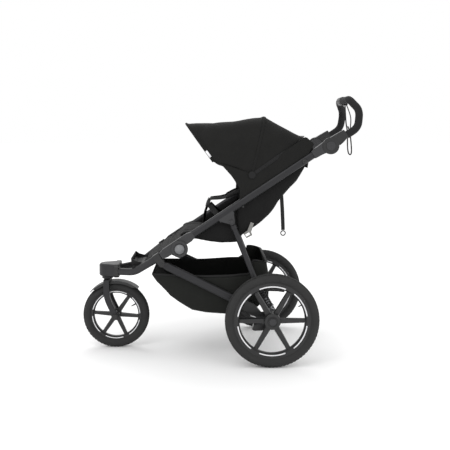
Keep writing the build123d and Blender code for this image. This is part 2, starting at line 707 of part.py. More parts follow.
# parking-brake pedal on the axle beam
pedal_half = 20.0
with BuildPart() as brake_pedal:
    with BuildSketch(side_plane(pedal_half, axle_place)):
        Circle(axle_beam_r + 5)
        Circle(axle_beam_r + run_fit, mode=Mode.SUBTRACT)
    extrude(amount=-2 * pedal_half)
    for y in (pedal_half, -pedal_half + 7):
        with BuildSketch(side_plane(y, axle_place)):
            with BuildLine():
                Polyline((-9, 14), (-4, 62), (4, 71), (78, 64), (78, 58), (10, 60), (9, 14), (-9, 14))
            make_face()
        extrude(amount=-7)
    with BuildSketch(side_plane(28, axle_place)):
        with BuildLine():
            Polyline((56, 60), (56, 70), (82, 67), (84, 62), (80, 56.5), (56, 60))
        make_face()
    extrude(amount=-56)
save(brake_pedal, "brake_pedal")

rear_place = wheel_place(rear_axle_x, -track / 2, rear_wheel_r)
cap_r = 15.0
hub_outer = 24.0
rear_tyre_solid = tyre_solid(rear_wheel_r, rear_rim_r, rear_tyre_w)
with BuildPart(mode=Mode.PRIVATE) as rear_rim_solid:
    add(rim_solid(rear_rim_r, 138, rear_tyre_w, 34, -hub_inner, hub_outer, 20, 0, spindle_r + run_fit))
    with BuildSketch(Plane.XY.offset(hub_outer)):
        Circle(cap_r + run_fit)
    extrude(amount=-9.5, mode=Mode.SUBTRACT)
    with BuildSketch(Plane.XY.offset(hub_outer)):
        Circle(22)
        Circle(19, mode=Mode.SUBTRACT)
    extrude(amount=-3, mode=Mode.SUBTRACT)

# push caps that let go of the rear wheels
with BuildPart(mode=Mode.PRIVATE) as wheel_cap:
    with BuildSketch(Plane.XY.offset(hub_outer - 5)):
        Circle(cap_r)
    extrude(amount=11)
    fillet(wheel_cap.faces().sort_by(Axis.Z)[-1].edges(), 2.5)

with BuildPart() as rear_tyre_left:
    add(rear_place * rear_tyre_solid)
save(rear_tyre_left, "rear_tyre_left")
with BuildPart() as rear_tyre_right:
    both_sides(rear_tyre_left.part)
save(rear_tyre_right, "rear_tyre_right")
with BuildPart() as rear_rim_left:
    add(rear_place * rear_rim_solid.part)
save(rear_rim_left, "rear_rim_left")
with BuildPart() as rear_rim_right:
    both_sides(rear_rim_left.part)
save(rear_rim_right, "rear_rim_right")
with BuildPart() as wheel_cap_left:
    add(rear_place * wheel_cap.part)
save(wheel_cap_left, "wheel_cap_left")
with BuildPart() as wheel_cap_right:
    both_sides(wheel_cap_left.part)
save(wheel_cap_right, "wheel_cap_right")

# ================================================================ STRUTS AND SHOCK ABSORBERS
strut_top = (strut_pivot[0], -rail_half, strut_pivot[1])
strut_low = (shock_top[0], -(swing_y - 2), shock_top[1])
eye_centre = (shock_eye[0], -swing_y, shock_eye[1])
strut_len = length_of(strut_top, strut_low)
shock_len = length_of(strut_low, eye_centre)
rod_r = 5.0
spring_r, spring_wire_r, spring_turns = 14.0, 2.0, 8
seat_r, seat_t = 17.5, 5.0
spring_from, spring_to = 38.0, 120.0  # along the shock absorber from its top
strut_pin_r = 5.0


def along(start, end, distance):
    """The point at a distance along the line from start to end."""
    total = length_of(start, end)
    return tuple(a + (b - a) * distance / total for a, b in zip(start, end))


def strut_part():
    """The left strut: eye, tube, elbow and the upper half of the shock absorber."""
    with BuildPart() as strut:
        with BuildSketch(cross_plane(along(strut_top, strut_low, 9), strut_low)):
            Circle(strut_r)
        extrude(amount=strut_len - 9)
        with BuildSketch(cross_plane(along(strut_top, strut_low, 20), strut_low)):
            Circle(strut_r + 2.5)
        extrude(amount=16)
        with Locations(strut_low):
            Sphere(strut_r + 1)
        with BuildSketch(cross_plane(strut_low, eye_centre)):
            Circle(strut_r)
        extrude(amount=spring_from - seat_t)
        with BuildSketch(cross_plane(along(strut_low, eye_centre, spring_from - seat_t), eye_centre)):
            Circle(seat_r)
        extrude(amount=seat_t - soft_gap)
        with BuildSketch(cross_plane(along(strut_low, eye_centre, spring_from - 1), eye_centre)):
            Circle(9)
        extrude(amount=40)
        with BuildSketch(cross_plane(along(strut_low, eye_centre, 12), eye_centre)):
            Circle(rod_r + run_fit)
        extrude(amount=90, mode=Mode.SUBTRACT)
        for y in (rail_half - strut_boss_w / 2 - 30, rail_half + strut_boss_w / 2):
            with BuildSketch(side_plane(y, strut_pivot)):
                Circle(strut_r + 8)
            extrude(amount=30, mode=Mode.SUBTRACT)
        with BuildSketch(side_plane(rail_half - strut_boss_w / 2, strut_pivot)):
            Circle(strut_r)
        extrude(amount=strut_boss_w)
        with BuildSketch(side_plane(rail_half - 20, strut_pivot)):
            Circle(strut_pin_r + run_fit)
        extrude(amount=40, mode=Mode.SUBTRACT)
    return strut.part


cross_at = along(strut_top, strut_low, cross_share * strut_len)
with BuildPart() as struts:
    add(strut_part())
    both_sides(struts.part)
    with BuildSketch(side_plane(-cross_at[1], (cross_at[0], cross_at[2]))):
        Circle(9)
    extrude(amount=2 * cross_at[1])
save(struts, "struts")

rod_top = 44.0
with BuildPart() as shock_rod_left:
    with BuildSketch(cross_plane(along(strut_low, eye_centre, rod_top), eye_centre)):
        Circle(rod_r)
    extrude(amount=shock_len - rod_top)
    with BuildSketch(cross_plane(along(strut_low, eye_centre, spring_to + soft_gap), eye_centre)):
        Circle(seat_r)
    extrude(amount=seat_t)
    with BuildSketch(side_plane(swing_y - arm_half + soft_gap, shock_eye)):
        Circle(eye_r)
    extrude(amount=2 * (arm_half - soft_gap))
    with BuildSketch(side_plane(swing_y - arm_half, shock_eye)):
        Circle(4)
    extrude(amount=2 * arm_half)
save(shock_rod_left, "shock_rod_left")
with BuildPart() as shock_rod_right:
    both_sides(shock_rod_left.part)
save(shock_rod_right, "shock_rod_right")

coil_length = spring_to - spring_from - 2 * spring_wire_r
coil_place = cross_plane(along(strut_low, eye_centre, spring_from + spring_wire_r), eye_centre).location
with BuildPart(mode=Mode.PRIVATE) as coil_spring:
    with BuildLine() as coil:
        Helix(pitch=coil_length / spring_turns, height=coil_length, radius=spring_r)
    with BuildSketch(Plane(origin=coil.line @ 0, z_dir=coil.line % 0)):
        RegularPolygon(spring_wire_r, 6)
    sweep(path=coil.line, is_frenet=True)

with BuildPart() as shock_springs:
    add(coil_place * coil_spring.part)
    both_sides(shock_springs.part)
save(shock_springs, "shock_springs")

# ================================================================ HANDLEBAR
bar_start = rail(handle_s + 44, handle_n)
bar_corner = rail(handle_s + 142, handle_n)
bar_half_route = [
    (bar_start[0], -rail_half, bar_start[1]),
    (bar_corner[0], -rail_half, bar_corner[1]),
    (608.6, -(rail_half - 12), 1086.0),
    (577.0, -(rail_half - 80), 1136.0),
]
cross_x, cross_z = bar_half_route[-1][0], bar_half_route[-1][2]
bar_radii = [55.0, 60.0, 62.0]
bar_route = bar_half_route + [(x, -y, z) for x, y, z in reversed(bar_half_route)]

with BuildPart() as handlebar_tube:
    with BuildLine() as route:
        FilletPolyline(*bar_route, radius=bar_radii + bar_radii[::-1])
    with BuildSketch(cross_plane(bar_route[0], bar_route[1])):
        Circle(bar_r)
    sweep(path=route.line)
save(handlebar_tube, "handlebar_tube")

# outer cheeks of the tilt hubs, moving with the handlebar, each with a recess for its button
with BuildPart() as handle_cheeks:
    hub_half(1, hub_mid + hub_gap, hub_out, hub_r, inner_cheek_r)
    with BuildSketch(cross_plane(bar_route[0], bar_route[1])):
        Circle(bar_r + seat_fit)
    extrude(amount=80, mode=Mode.SUBTRACT)
    with BuildSketch(rail_plane(hub_mid - 10)):
        with Locations((handle_s, handle_n)):
            Circle(tilt_pin_r + run_fit)
    extrude(amount=40, mode=Mode.SUBTRACT)
    with BuildSketch(rail_plane(hub_out - button_recess)):
        with Locations((handle_s, handle_n)):
            Circle(button_r + soft_gap)
    extrude(amount=20, mode=Mode.SUBTRACT)
    both_sides(handle_cheeks.part)
save(handle_cheeks, "handle_cheeks")

button_stroke = 3.0
with BuildPart() as handle_button_left:
    with BuildSketch(rail_plane(hub_out - button_recess + button_stroke + 1)):
        with Locations((handle_s, handle_n)):
            Circle(button_r)
    extrude(amount=button_recess - button_stroke + 1)
    fillet(handle_button_left.faces().sort_by(Axis.Y)[0].edges(), 1.5)
save(handle_button_left, "handle_button_left")
with BuildPart() as handle_button_right:
    both_sides(handle_button_left.part)
save(handle_button_right, "handle_button_right")

# foam grip: one long sleeve up the left arm and along the bar, a short one on the right
twist_y0, twist_y1 = 22.0, 88.0
grip_start = rail(handle_s + 84, handle_n)
grip_long = [(grip_start[0], -rail_half, grip_start[1])] + bar_half_route[1:] + [(cross_x, 8.0, cross_z)]
grip_short = [(grip_start[0], rail_half, grip_start[1])]
grip_short += [(x, -y, z) for x, y, z in bar_half_route[1:]] + [(cross_x, twist_y1 + 0.3, cross_z)]
with BuildPart() as handlebar_grip:
    with BuildLine() as route:
        FilletPolyline(*grip_long, radius=bar_radii)
    with BuildSketch(cross_plane(grip_long[0], grip_long[1])):
        Circle(grip_r)
        Circle(bar_r + seat_fit, mode=Mode.SUBTRACT)
    sweep(path=route.line)
    with BuildLine() as route_2:
        FilletPolyline(*grip_short, radius=bar_radii)
    with BuildSketch(cross_plane(grip_short[0], grip_short[1])):
        Circle(grip_r)
        Circle(bar_r + seat_fit, mode=Mode.SUBTRACT)
    sweep(path=route_2.line)
save(handlebar_grip, "handlebar_grip")

# twist grip of the hand brake and the small housing beside it where its cable starts
with BuildPart() as brake_twist_grip:
    with BuildSketch(side_plane(-twist_y0, (cross_x, cross_z))):
        Circle(grip_r + 3)
        Circle(bar_r + run_fit, mode=Mode.SUBTRACT)
    extrude(amount=-(twist_y1 - twist_y0))
    chamfer(brake_twist_grip.edges().filter_by(GeomType.CIRCLE).filter_by(lambda e: e.radius > grip_r + 1), 2)
    with BuildSketch(side_plane(-twist_y0 - 8, (cross_x, cross_z))):
        with PolarLocations(grip_r + 3, 10):
            Circle(1.6)
    extrude(amount=-(twist_y1 - twist_y0 - 16), mode=Mode.SUBTRACT)
save(brake_twist_grip, "brake_twist_grip")

with BuildPart() as cable_housing:
    with BuildSketch(side_plane(-8.5, (cross_x, cross_z))):
        Circle(grip_r + 2)
        with Locations((10, -14)):
            Rectangle(18, 12)
        Circle(bar_r + seat_fit, mode=Mode.SUBTRACT)
    extrude(amount=-(twist_y0 - 0.3 - 8.5))
save(cable_housing, "cable_housing")

# ================================================================ CANOPY
mid_bow_angle, mid_bow_reach = 76.5, 258.0
rear_seam_angle, rear_seam_reach = 35.0, 281.0
front_bend = (-20.0, 862.0)
front_tip = (-142.0, 1032.0)
bow_half = canopy_half - 14
mid_top, front_top, rear_top = canopy_half - 47, canopy_half - 72, canopy_half - 37  # flat tops of the arches


def fan_plane(origin, angle):
    """A plane through a lateral line, its y pointing up and back at the angle from +X."""
    a = radians(angle)
    return Plane(origin=(origin[0], 0, origin[1]), x_dir=(0, 1, 0), z_dir=(sin(a), 0, -cos(a)))


def hood_section(plane, base, height, half, top_half, corner):
    """The arch that a bow gives the cloth: upright sides and a rounded top."""
    with BuildSketch(plane) as arch:
        with BuildLine() as outline:
            Polyline((-half, base), (-half, height * 0.55), (-top_half, height), (top_half, height),
                     (half, height * 0.55), (half, base), (-half, base))
        make_face()
        tops = arch.vertices().filter_by(lambda v: abs(plane.to_local_coords(v.center()).Y - height) < 1)
        fillet(tops, corner)
    return arch.sketch.face()


def hood_panel(near, far, wall=canopy_wall):
    """A shell of cloth stretched between two arches, open towards the child and at both arches."""
    outer = [hood_section(plane, base, height, half, top, corner) for plane, base, height, half, top, corner in
             (near, far)]
    inner = [hood_section(plane, base - 8, height - wall, half - wall, top - wall, corner - wall)
             for plane, base, height, half, top, corner in (near, far)]
    with BuildPart() as panel:
        loft(outer, ruled=True)
        loft(inner, ruled=True, mode=Mode.SUBTRACT)
    return panel.part


tip_reach = hypot(front_tip[0] - front_bend[0], front_tip[1] - front_bend[1])
tip_angle = degrees(atan2(front_tip[1] - front_bend[1], front_tip[0] - front_bend[0]))
front_arch = (fan_plane(front_bend, tip_angle), 4, tip_reach, canopy_half - 6, front_top, 55)
mid_arch_front = (fan_plane(canopy_pivot, mid_bow_angle + 0.4), 12, mid_bow_reach, canopy_half, mid_top, 60)
mid_arch_rear = (fan_plane(canopy_pivot, mid_bow_angle - 0.4), 12, mid_bow_reach, canopy_half, mid_top, 60)
rear_arch = (fan_plane(canopy_pivot, rear_seam_angle), 12, rear_seam_reach, canopy_half, rear_top, 60)
with BuildPart() as canopy_front_cover:
    add(hood_panel(front_arch, mid_arch_front))
save(canopy_front_cover, "canopy_front_cover")
with BuildPart() as canopy_mid_cover:
    add(hood_panel(mid_arch_rear, rear_arch))
save(canopy_mid_cover, "canopy_mid_cover")

# fixed cloth behind the rear seam and down to the rails
rail_top = rail_offset + tube_h / 2 + soft_gap
skirt_outline = [
    (canopy_pivot[0], canopy_pivot[1] - 2), (18, 849), (58, 802), (93, 748), rail(326, rail_top),
    rail(handle_s - 88, rail_top), (407, 941), (canopy_pivot[0] + 230, canopy_pivot[1] + 150),
]
with BuildPart() as canopy_rear_cover:
    for y in (canopy_half, -canopy_half + canopy_wall):
        with BuildSketch(side_plane(y)):
            with BuildLine():
                Polyline(*skirt_outline, skirt_outline[0])
            make_face()
        extrude(amount=-canopy_wall)
    with BuildSketch(side_plane(canopy_half)):
        with BuildLine():
            Polyline((378, 966), (407, 941), rail(handle_s - 88, rail_top), rail(handle_s - 94, rail_top), (402, 940),
                     (376, 961), (378, 966))
        make_face()
    extrude(amount=-2 * canopy_half)
    with BuildSketch(side_plane(canopy_half + 1, canopy_pivot)):
        Circle(6)
    extrude(amount=-2 * (canopy_half + 1), mode=Mode.SUBTRACT)
save(canopy_rear_cover, "canopy_rear_cover")

# hubs that the bows swing on, on arms that stand on the rails
hub_s = (canopy_pivot[0] - fold_x) * cosr + (canopy_pivot[1] - fold_z) * sinr
hub_n = -(canopy_pivot[0] - fold_x) * sinr + (canopy_pivot[1] - fold_z) * cosr
bow_pin_r = 5.0
hub_arm_y = rail_half - tube_w / 2 + 0.6
mid_eye_y, front_eye_y, eye_t = canopy_half - 16.4, canopy_half - 9.4, 4.0
with BuildPart() as canopy_hubs:
    with BuildSketch(rail_plane(hub_arm_y)):
        with BuildLine():
            Polyline((hub_s - 24, rail_top), (hub_s - 9, hub_n), (hub_s + 9, hub_n), (hub_s + 24, rail_top),
                     (hub_s - 24, rail_top))
        make_face()
        with Locations((hub_s, hub_n)):
            Circle(12)
    extrude(amount=4.8)
    with BuildSketch(rail_plane(hub_arm_y)):
        with Locations((hub_s, rail_top + 3)):
            Rectangle(60, 6)
    extrude(amount=18)
    with BuildSketch(rail_plane(hub_arm_y + 1.4)):
        with Locations((hub_s, hub_n)):
            Circle(bow_pin_r)
    extrude(amount=canopy_half - hub_arm_y - 1.4 + 1)
    with BuildSketch(rail_plane(canopy_half + 0.4)):
        with Locations((hub_s, hub_n)):
            Circle(16)
    extrude(amount=4)
    chamfer(canopy_hubs.faces().sort_by(Axis.Y)[0].edges(), 1.5)
    both_sides(canopy_hubs.part)
save(canopy_hubs, "canopy_hubs")


def bow_part(points, radii, eye_y):
    """A wire bow across the canopy with a flat eye on the pivot at each end."""
    with BuildPart() as bow:
        with BuildLine() as route:
            FilletPolyline(*points, radius=radii)
        with BuildSketch(cross_plane(points[0], points[1])):
            Circle(bow_r)
        sweep(path=route.line)
        for y in (eye_y, -eye_y - eye_t):
            with BuildSketch(side_plane(y, canopy_pivot)) as eye:
                Circle(bow_pin_r + 5)
            extrude(eye.sketch, amount=eye_t)
        for y in (eye_y - 12, -eye_y - eye_t - 12):
            with BuildSketch(side_plane(y, canopy_pivot)) as hole:
                Circle(bow_pin_r + run_fit)
            extrude(hole.sketch, amount=eye_t + 24, mode=Mode.SUBTRACT)
    return bow.part


def fan_point(origin, angle, reach, y):
    return (origin[0] + reach * cos(radians(angle)), y, origin[1] + reach * sin(radians(angle)))


wire_in = 10.0  # from the cloth's outside to the middle of the wire
corner_in = 5.0  # the same at the arches' slanted corners
mid_points = [
    fan_point(canopy_pivot, mid_bow_angle, 8, -(mid_eye_y + eye_t / 2)),
    fan_point(canopy_pivot, mid_bow_angle, 0.55 * mid_bow_reach - corner_in, -(canopy_half - wire_in)),
    fan_point(canopy_pivot, mid_bow_angle, mid_bow_reach - wire_in, -(mid_top - corner_in)),
]
mid_points += [(x, -y, z) for x, y, z in reversed(mid_points)]
with BuildPart() as canopy_mid_bow:
    add(bow_part(mid_points, [200, 58, 58, 200], mid_eye_y))
save(canopy_mid_bow, "canopy_mid_bow")

leg_angle = degrees(atan2(front_bend[1] - canopy_pivot[1], front_bend[0] - canopy_pivot[0]))
front_points = [
    fan_point(canopy_pivot, leg_angle, 8, -(front_eye_y + eye_t / 2)),
    fan_point(canopy_pivot, leg_angle, 160, -bow_half),
    fan_point(front_bend, tip_angle, 0.55 * tip_reach - corner_in, -(canopy_half - 6 - wire_in)),
    fan_point(front_bend, tip_angle, tip_reach - wire_in, -(front_top - corner_in)),
]
front_points += [(x, -y, z) for x, y, z in reversed(front_points)]
with BuildPart() as canopy_front_bow:
    add(bow_part(front_points, [45, 120, 48, 48, 120, 45], front_eye_y))
save(canopy_front_bow, "canopy_front_bow")

# ================================================================ SEAT
seat_half = rail_half - tube_w / 2 - soft_gap
cloth = 5.0
seat_floor = [(-143, 531), (-98, 527), (-40, 515), (16, 509), (70, 511)]
floor_top = [(x, z + cloth) for x, z in seat_floor]
with BuildPart() as seat_sling:
    with BuildSketch(side_plane(seat_half)):
        with BuildLine():
            Polyline(*seat_floor, rail(290, -4), rail(280, 22), rail(48, 22), seat_floor[0])
        make_face()
    extrude(amount=-2 * seat_half)
    with BuildSketch(side_plane(seat_half - cloth)):
        with BuildLine():
            Polyline((-190, floor_top[0][1]), *floor_top, (90, floor_top[-1][1]), (300, 700), (300, 900), (-190, 900),
                     (-190, floor_top[0][1]))
        make_face()
    extrude(amount=-2 * (seat_half - cloth), mode=Mode.SUBTRACT)
save(seat_sling, "seat_sling")

cushion_half = seat_half - cloth - soft_gap
cushion_low = [(x, z + cloth + soft_gap) for x, z in seat_floor]
with BuildPart() as seat_cushion:
    with BuildSketch(side_plane(cushion_half)):
        with BuildLine():
            Polyline((-178, 532), (-143, 536.6), *cushion_low[1:-1], (62, 517), (68, 560), (40, 566), (-64, 572),
                     (-120, 572), (-168, 567), (-181, 552), (-178, 532))
        make_face()
    extrude(amount=-2 * cushion_half)
    fillet(seat_cushion.edges().filter_by(Axis.Y).group_by(Axis.Z)[-1], 8)
save(seat_cushion, "seat_cushion")

# reclining back: a padded panel with cloth sides that reach up to the rails
recline_pivot = (75.0, 508.0)
back_play = 0.9
back_half = seat_half - back_play
back_rear = [(80, 518), (100, 548), (121, 560), (139, 575), (183, 608), (218, 639), (231, 655), (257, 696),
             (277, 720), (305, 755), (336, 788), (357, 819), (374, 850)]
back_front = [(350, 866), (333, 838), (314, 808), (284, 776), (256, 742), (235, 717), (209, 676), (198, 660),
              (163, 629), (119, 596), (101, 582), (84, 570), (72, 546)]
with BuildPart() as backrest:
    with BuildSketch(side_plane(back_half)):
        with BuildLine():
            Polyline(*back_rear, *back_front, back_rear[0])
        make_face()
    extrude(amount=-2 * back_half)
    for y in (back_half, -back_half + cloth):
        with BuildSketch(side_plane(y)):
            with BuildLine():
                Polyline(*back_rear, rail(676, 10), rail(304, 10), (86, 640), back_rear[0])
            make_face()
        extrude(amount=-cloth)
save(backrest, "backrest")

# plate with a square hole that hangs below the back and catches the folded frame
with BuildPart() as fold_catch:
    with BuildSketch(side_plane(back_half + soft_gap)):
        with BuildLine():
            Polyline((108, 553), (122, 533), (147, 546), (142, 560), (154, 598), (140, 603), (126, 566), (108, 553))
        make_face()
        with Locations(Location((127, 549), 30)):
            Rectangle(19, 11, mode=Mode.SUBTRACT)
    extrude(amount=4)
save(fold_catch, "fold_catch")

# strap that hangs from the back, with its pull ring
strap_y = -(back_half - 21.8)
strap_route = [(275.5, strap_y, 716.5), (280.7, strap_y, 652.9), (283.4, strap_y, 564.7)]
ring_at = (283.5, strap_y, 550.9)
ring_r, ring_wire_r = 11.5, 2.0
strap_w, strap_t = 12.0, 1.6
with BuildPart() as recline_strap:
    with BuildLine() as route:
        FilletPolyline(*strap_route, radius=[150.0])
    with BuildSketch(Plane(origin=strap_route[0], x_dir=(0, 1, 0), z_dir=route.line % 0)):
        Rectangle(strap_w, strap_t)
    sweep(path=route.line)
save(recline_strap, "recline_strap")

with BuildPart() as recline_ring:
    with Locations(side_plane(-strap_y, (ring_at[0], ring_at[2])).location):
        Torus(ring_r, ring_wire_r)
save(recline_ring, "recline_ring")

# ================================================================ HARNESS
webbing_w, webbing_t = 25.0, 2.4
buckle_at = (-44.0, 672.0)
with BuildPart() as lap_straps:
    with BuildLine() as route:
        FilletPolyline((-66, 0, 573), (-58, 0, 630), (-50, 0, 651.5), radius=[60.0])
    with BuildSketch(Plane(origin=(-66, 0, 573), x_dir=(0, 1, 0), z_dir=route.line % 0)):
        Rectangle(webbing_w, webbing_t)
    sweep(path=route.line)
    waist = [(-39, -30.6, 665.5), (5, -110, 615), (60, -150, 588)]
    with BuildLine() as waist_line:
        FilletPolyline(*waist, radius=[60.0])
    with BuildSketch(Plane(origin=waist[0], x_dir=(0.7, 0.3, 0.6), z_dir=waist_line.line % 0)):
        Rectangle(webbing_w, webbing_t)
    sweep(path=waist_line.line)
    mirror(lap_straps.part, about=Plane.XZ)
save(lap_straps, "lap_straps")

buckle_plane = Plane(origin=(buckle_at[0], 0, buckle_at[1]), x_dir=(0, 1, 0), z_dir=(-0.94, 0, 0.34))
buckle_button_r = 9.0
with BuildPart() as harness_buckle:
    with BuildSketch(buckle_plane.offset(-7)):
        RectangleRounded(60, 42, 12)
    extrude(amount=14)
    chamfer(harness_buckle.faces().sort_by(SortBy.AREA)[-1].edges(), 2)
    with BuildSketch(buckle_plane.offset(0)):
        Circle(buckle_button_r + run_fit)
    extrude(amount=8, mode=Mode.SUBTRACT)
save(harness_buckle, "harness_buckle")

with BuildPart() as buckle_button:
    with BuildSketch(buckle_plane.offset(3.2)):
        Circle(buckle_button_r)
    extrude(amount=5.2)
save(buckle_button, "buckle_button")

pad_w, pad_t = 46.0, 11.0
with BuildPart() as shoulder_straps:
    shoulder = [(-34.5, -22, 692.2), (30, -45, 697), (84, -66, 722), (150, -78, 742), (226, -80, 738)]
    with BuildLine() as route:
        FilletPolyline(*shoulder, radius=[60.0, 60.0, 80.0])
    with BuildSketch(Plane(origin=shoulder[0], x_dir=(0.3, 1, 0), z_dir=route.line % 0)):
        Rectangle(webbing_w, webbing_t)
    sweep(path=route.line)
    pad_from, pad_to = shoulder[1], shoulder[2]
    with BuildSketch(cross_plane(along(pad_from, shoulder[2], 20), pad_to)):
        RectangleRounded(pad_w, pad_t, 4)
    extrude(amount=length_of(pad_from, pad_to) - 10)
    both_sides(shoulder_straps.part)
save(shoulder_straps, "shoulder_straps")

# ================================================================ BASKET
basket_wall = 4.0
basket_low = [(-294, 375), (-269, 335), (-212, 273), (-169, 241.5), (-116, 212), (-59, 200.7), (33, 196.5),
              (150, 205), (190, 240), (222, 300), (228, 341)]
basket_rim = [(212, 430), (149, 441), (137, 379), (-59, 368)]
basket_plan = [(-300, rail_half - 17), (-246, rail_half - 11.4), (60, rail_half + 19.5), (110, swing_y - 35),
               (235, swing_y - 35)]
basket_inner_low = [(-280, 372), (-263, 337.5), (-209, 276), (-167, 245), (-115, 216), (-59, 204.7), (33, 200.5),
                    (148, 209), (186, 242), (218, 301), (224, 341), (208, 434)]


def basket_plan_face(inset):
    with BuildSketch(Plane.XY.offset(150)) as plan:
        with BuildLine():
            half = [(x, y - inset) for x, y in basket_plan]
            Polyline(*half, *[(x, -y) for x, y in reversed(half)], half[0])
        make_face()
    return plan.sketch


with BuildPart(mode=Mode.PRIVATE) as basket_room:
    with BuildSketch(side_plane(230)) as room:
        with BuildLine():
            Polyline(*basket_inner_low, (208, 500), (-290, 500), basket_inner_low[0])
        make_face()
    extrude(room.sketch, amount=-460)
    extrude(basket_plan_face(basket_wall), amount=400, mode=Mode.INTERSECT)

with BuildPart() as basket:
    with BuildSketch(side_plane(230)) as shape:
        with BuildLine():
            Polyline(*basket_low, *basket_rim, basket_low[0])
        make_face()
    extrude(shape.sketch, amount=-460)
    extrude(basket_plan_face(0), amount=400, mode=Mode.INTERSECT)
    add(basket_room.part, mode=Mode.SUBTRACT)
save(basket, "basket")

# ================================================================ CORDS AND SMALL PARTS
cable_r = 2.5
cable_route = [(590.0, 8.4, 1119.0), (588.0, -60.0, 1090.0), (586.0, -130.0, 1046.0), (564.0, -180.0, 967.0),
               (522.0, -201.0, 938.0)]
cable_radii = [60.0, 60.0, 60.0]
with BuildPart() as brake_cable:
    with BuildLine() as route:
        FilletPolyline(*cable_route, radius=cable_radii)
    with BuildSketch(Plane(origin=cable_route[0], x_dir=(1, 0, 0), z_dir=(0, -1, 0))):
        Circle(cable_r)
    sweep(path=route.line)
save(brake_cable, "brake_cable")

wrist_r = 3.0
wrist_route = [(582.0, 0.0, 1119.3), (586.0, 0.0, 1040.0), (595.0, 0.0, 1000.0), (596.0, 0.0, 900.0),
               (612.0, 0.0, 886.0), (616.0, 0.0, 912.0), (606.0, 0.0, 1000.0), (596.0, 0.0, 1020.0)]
wrist_radii = [80.0, 60.0, 8.0, 8.0, 80.0, 10.0]
with BuildPart() as wrist_strap:
    with BuildLine() as route:
        FilletPolyline(*wrist_route, radius=wrist_radii)
    with BuildSketch(cross_plane(wrist_route[0], wrist_route[1])):
        Circle(wrist_r)
    sweep(path=route.line)
save(wrist_strap, "wrist_strap")
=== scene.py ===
"""Three-wheel jogging stroller: the dressed model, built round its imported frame.

Laid out as an add-on and run as a script. Every piece is in metres in the frame's own axes: the child
faces -X, the left side is -Y and +Z is up.
"""

import json
from math import cos, pi, radians, sin

import bmesh
import bpy
import numpy as np
from mathutils import Matrix, Vector, noise


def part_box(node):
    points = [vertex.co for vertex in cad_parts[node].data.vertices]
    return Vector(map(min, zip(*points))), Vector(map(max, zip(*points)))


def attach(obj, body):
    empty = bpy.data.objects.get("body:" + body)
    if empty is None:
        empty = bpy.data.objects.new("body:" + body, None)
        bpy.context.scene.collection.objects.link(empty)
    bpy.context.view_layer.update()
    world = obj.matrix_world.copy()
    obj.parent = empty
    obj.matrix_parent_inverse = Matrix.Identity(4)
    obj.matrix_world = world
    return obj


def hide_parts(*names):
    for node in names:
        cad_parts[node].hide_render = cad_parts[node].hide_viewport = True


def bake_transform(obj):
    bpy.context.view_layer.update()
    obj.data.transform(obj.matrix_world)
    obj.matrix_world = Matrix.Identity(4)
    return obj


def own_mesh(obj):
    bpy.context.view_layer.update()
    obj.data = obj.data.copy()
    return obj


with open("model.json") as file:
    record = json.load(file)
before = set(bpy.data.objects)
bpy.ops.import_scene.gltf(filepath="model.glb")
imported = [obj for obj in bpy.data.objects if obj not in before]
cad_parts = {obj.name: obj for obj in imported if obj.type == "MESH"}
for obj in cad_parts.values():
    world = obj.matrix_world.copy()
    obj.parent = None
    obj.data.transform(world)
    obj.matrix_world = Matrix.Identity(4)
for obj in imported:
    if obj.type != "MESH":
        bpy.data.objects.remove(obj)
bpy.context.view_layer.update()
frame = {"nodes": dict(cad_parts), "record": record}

bl_info = {
    "name": "Jogging stroller",
    "version": (1, 0, 0),
    "blender": (4, 5, 0),
    "location": "View3D > Sidebar > Stroller",
    "description": "Dresses the frame of a three-wheel jogging stroller",
    "category": "Object",
}

MM = 0.001
CLOSE, CLOTH_WELD = 0.001 * MM, 0.05 * MM  # points nearer than this are made one, in hard pieces and in cloth


# ---------------------------------------------------------------- colours and sizes a user would change
def linear(text):
    """A colour written as sRGB hex, in the linear values that shaders take."""
    parts = [int(text[i:i + 2], 16) / 255 for i in (1, 3, 5)]
    return tuple(c / 12.92 if c <= 0.04045 else ((c + 0.055) / 1.055) ** 2.4 for c in parts) + (1.0,)


def colour_setting(name, text, description):
    return bpy.props.FloatVectorProperty(name=name, description=description, default=linear(text), size=4,
                                         min=0, max=1, subtype="COLOR")


class StrollerColours(bpy.types.PropertyGroup):
    frame_grey: colour_setting("Frame", "#2d2d2f", "Anodised aluminium of the tubes")
    frame_plastic: colour_setting("Hinges", "#29292b", "Moulded housings on the frame")
    black_plastic: colour_setting("Black plastic", "#1a1a1b", "Moulded pieces that are nearly black")
    cloth_seat: colour_setting("Seat cloth", "#171717", "Woven cloth of the seat")
    cloth_canopy: colour_setting("Canopy cloth", "#1b1b1a", "Woven cloth of the canopy")
    cloth_basket: colour_setting("Basket cloth", "#1d1e1c", "Woven cloth of the basket")
    rubber: colour_setting("Tyres", "#2b2b2b", "Rubber of the tyres")
    reflective: colour_setting("Rim band", "#ececee", "Reflective band on the rims")


def length_setting(name, usual, least, most, description):
    return bpy.props.FloatProperty(name=name, description=description, default=usual * MM, min=least * MM,
                                   max=most * MM, unit="LENGTH")


class StrollerSizes(bpy.types.PropertyGroup):
    tread_pitch: length_setting("Tread pitch", 16, 8, 40, "From one tread block to the next")
    stitch_pitch: length_setting("Stitch pitch", 7, 4, 20, "From one stitch to the next")
    cloth_thickness: length_setting("Cloth thickness", 2, 1, 4, "Of the canopy and basket cloth")


# ---------------------------------------------------------------- materials
MATERIALS = {}
WAVE_SCALE = 314  # at this scale a wave texture repeats every millimetre
ROUGHNESS_SWING, BUMP_STRENGTH = 0.07, 0.6


def add(tree, kind, settings=(), links=(), **attributes):
    """Adds a shader or geometry node with its attributes, input values and incoming links."""
    item = tree.nodes.new(kind)
    for key, value in attributes.items():
        setattr(item, key, value)
    for key, value in dict(settings).items():
        item.inputs[key].default_value = value
    for key, source in dict(links).items():
        tree.links.new(source, item.inputs[key])
    return item


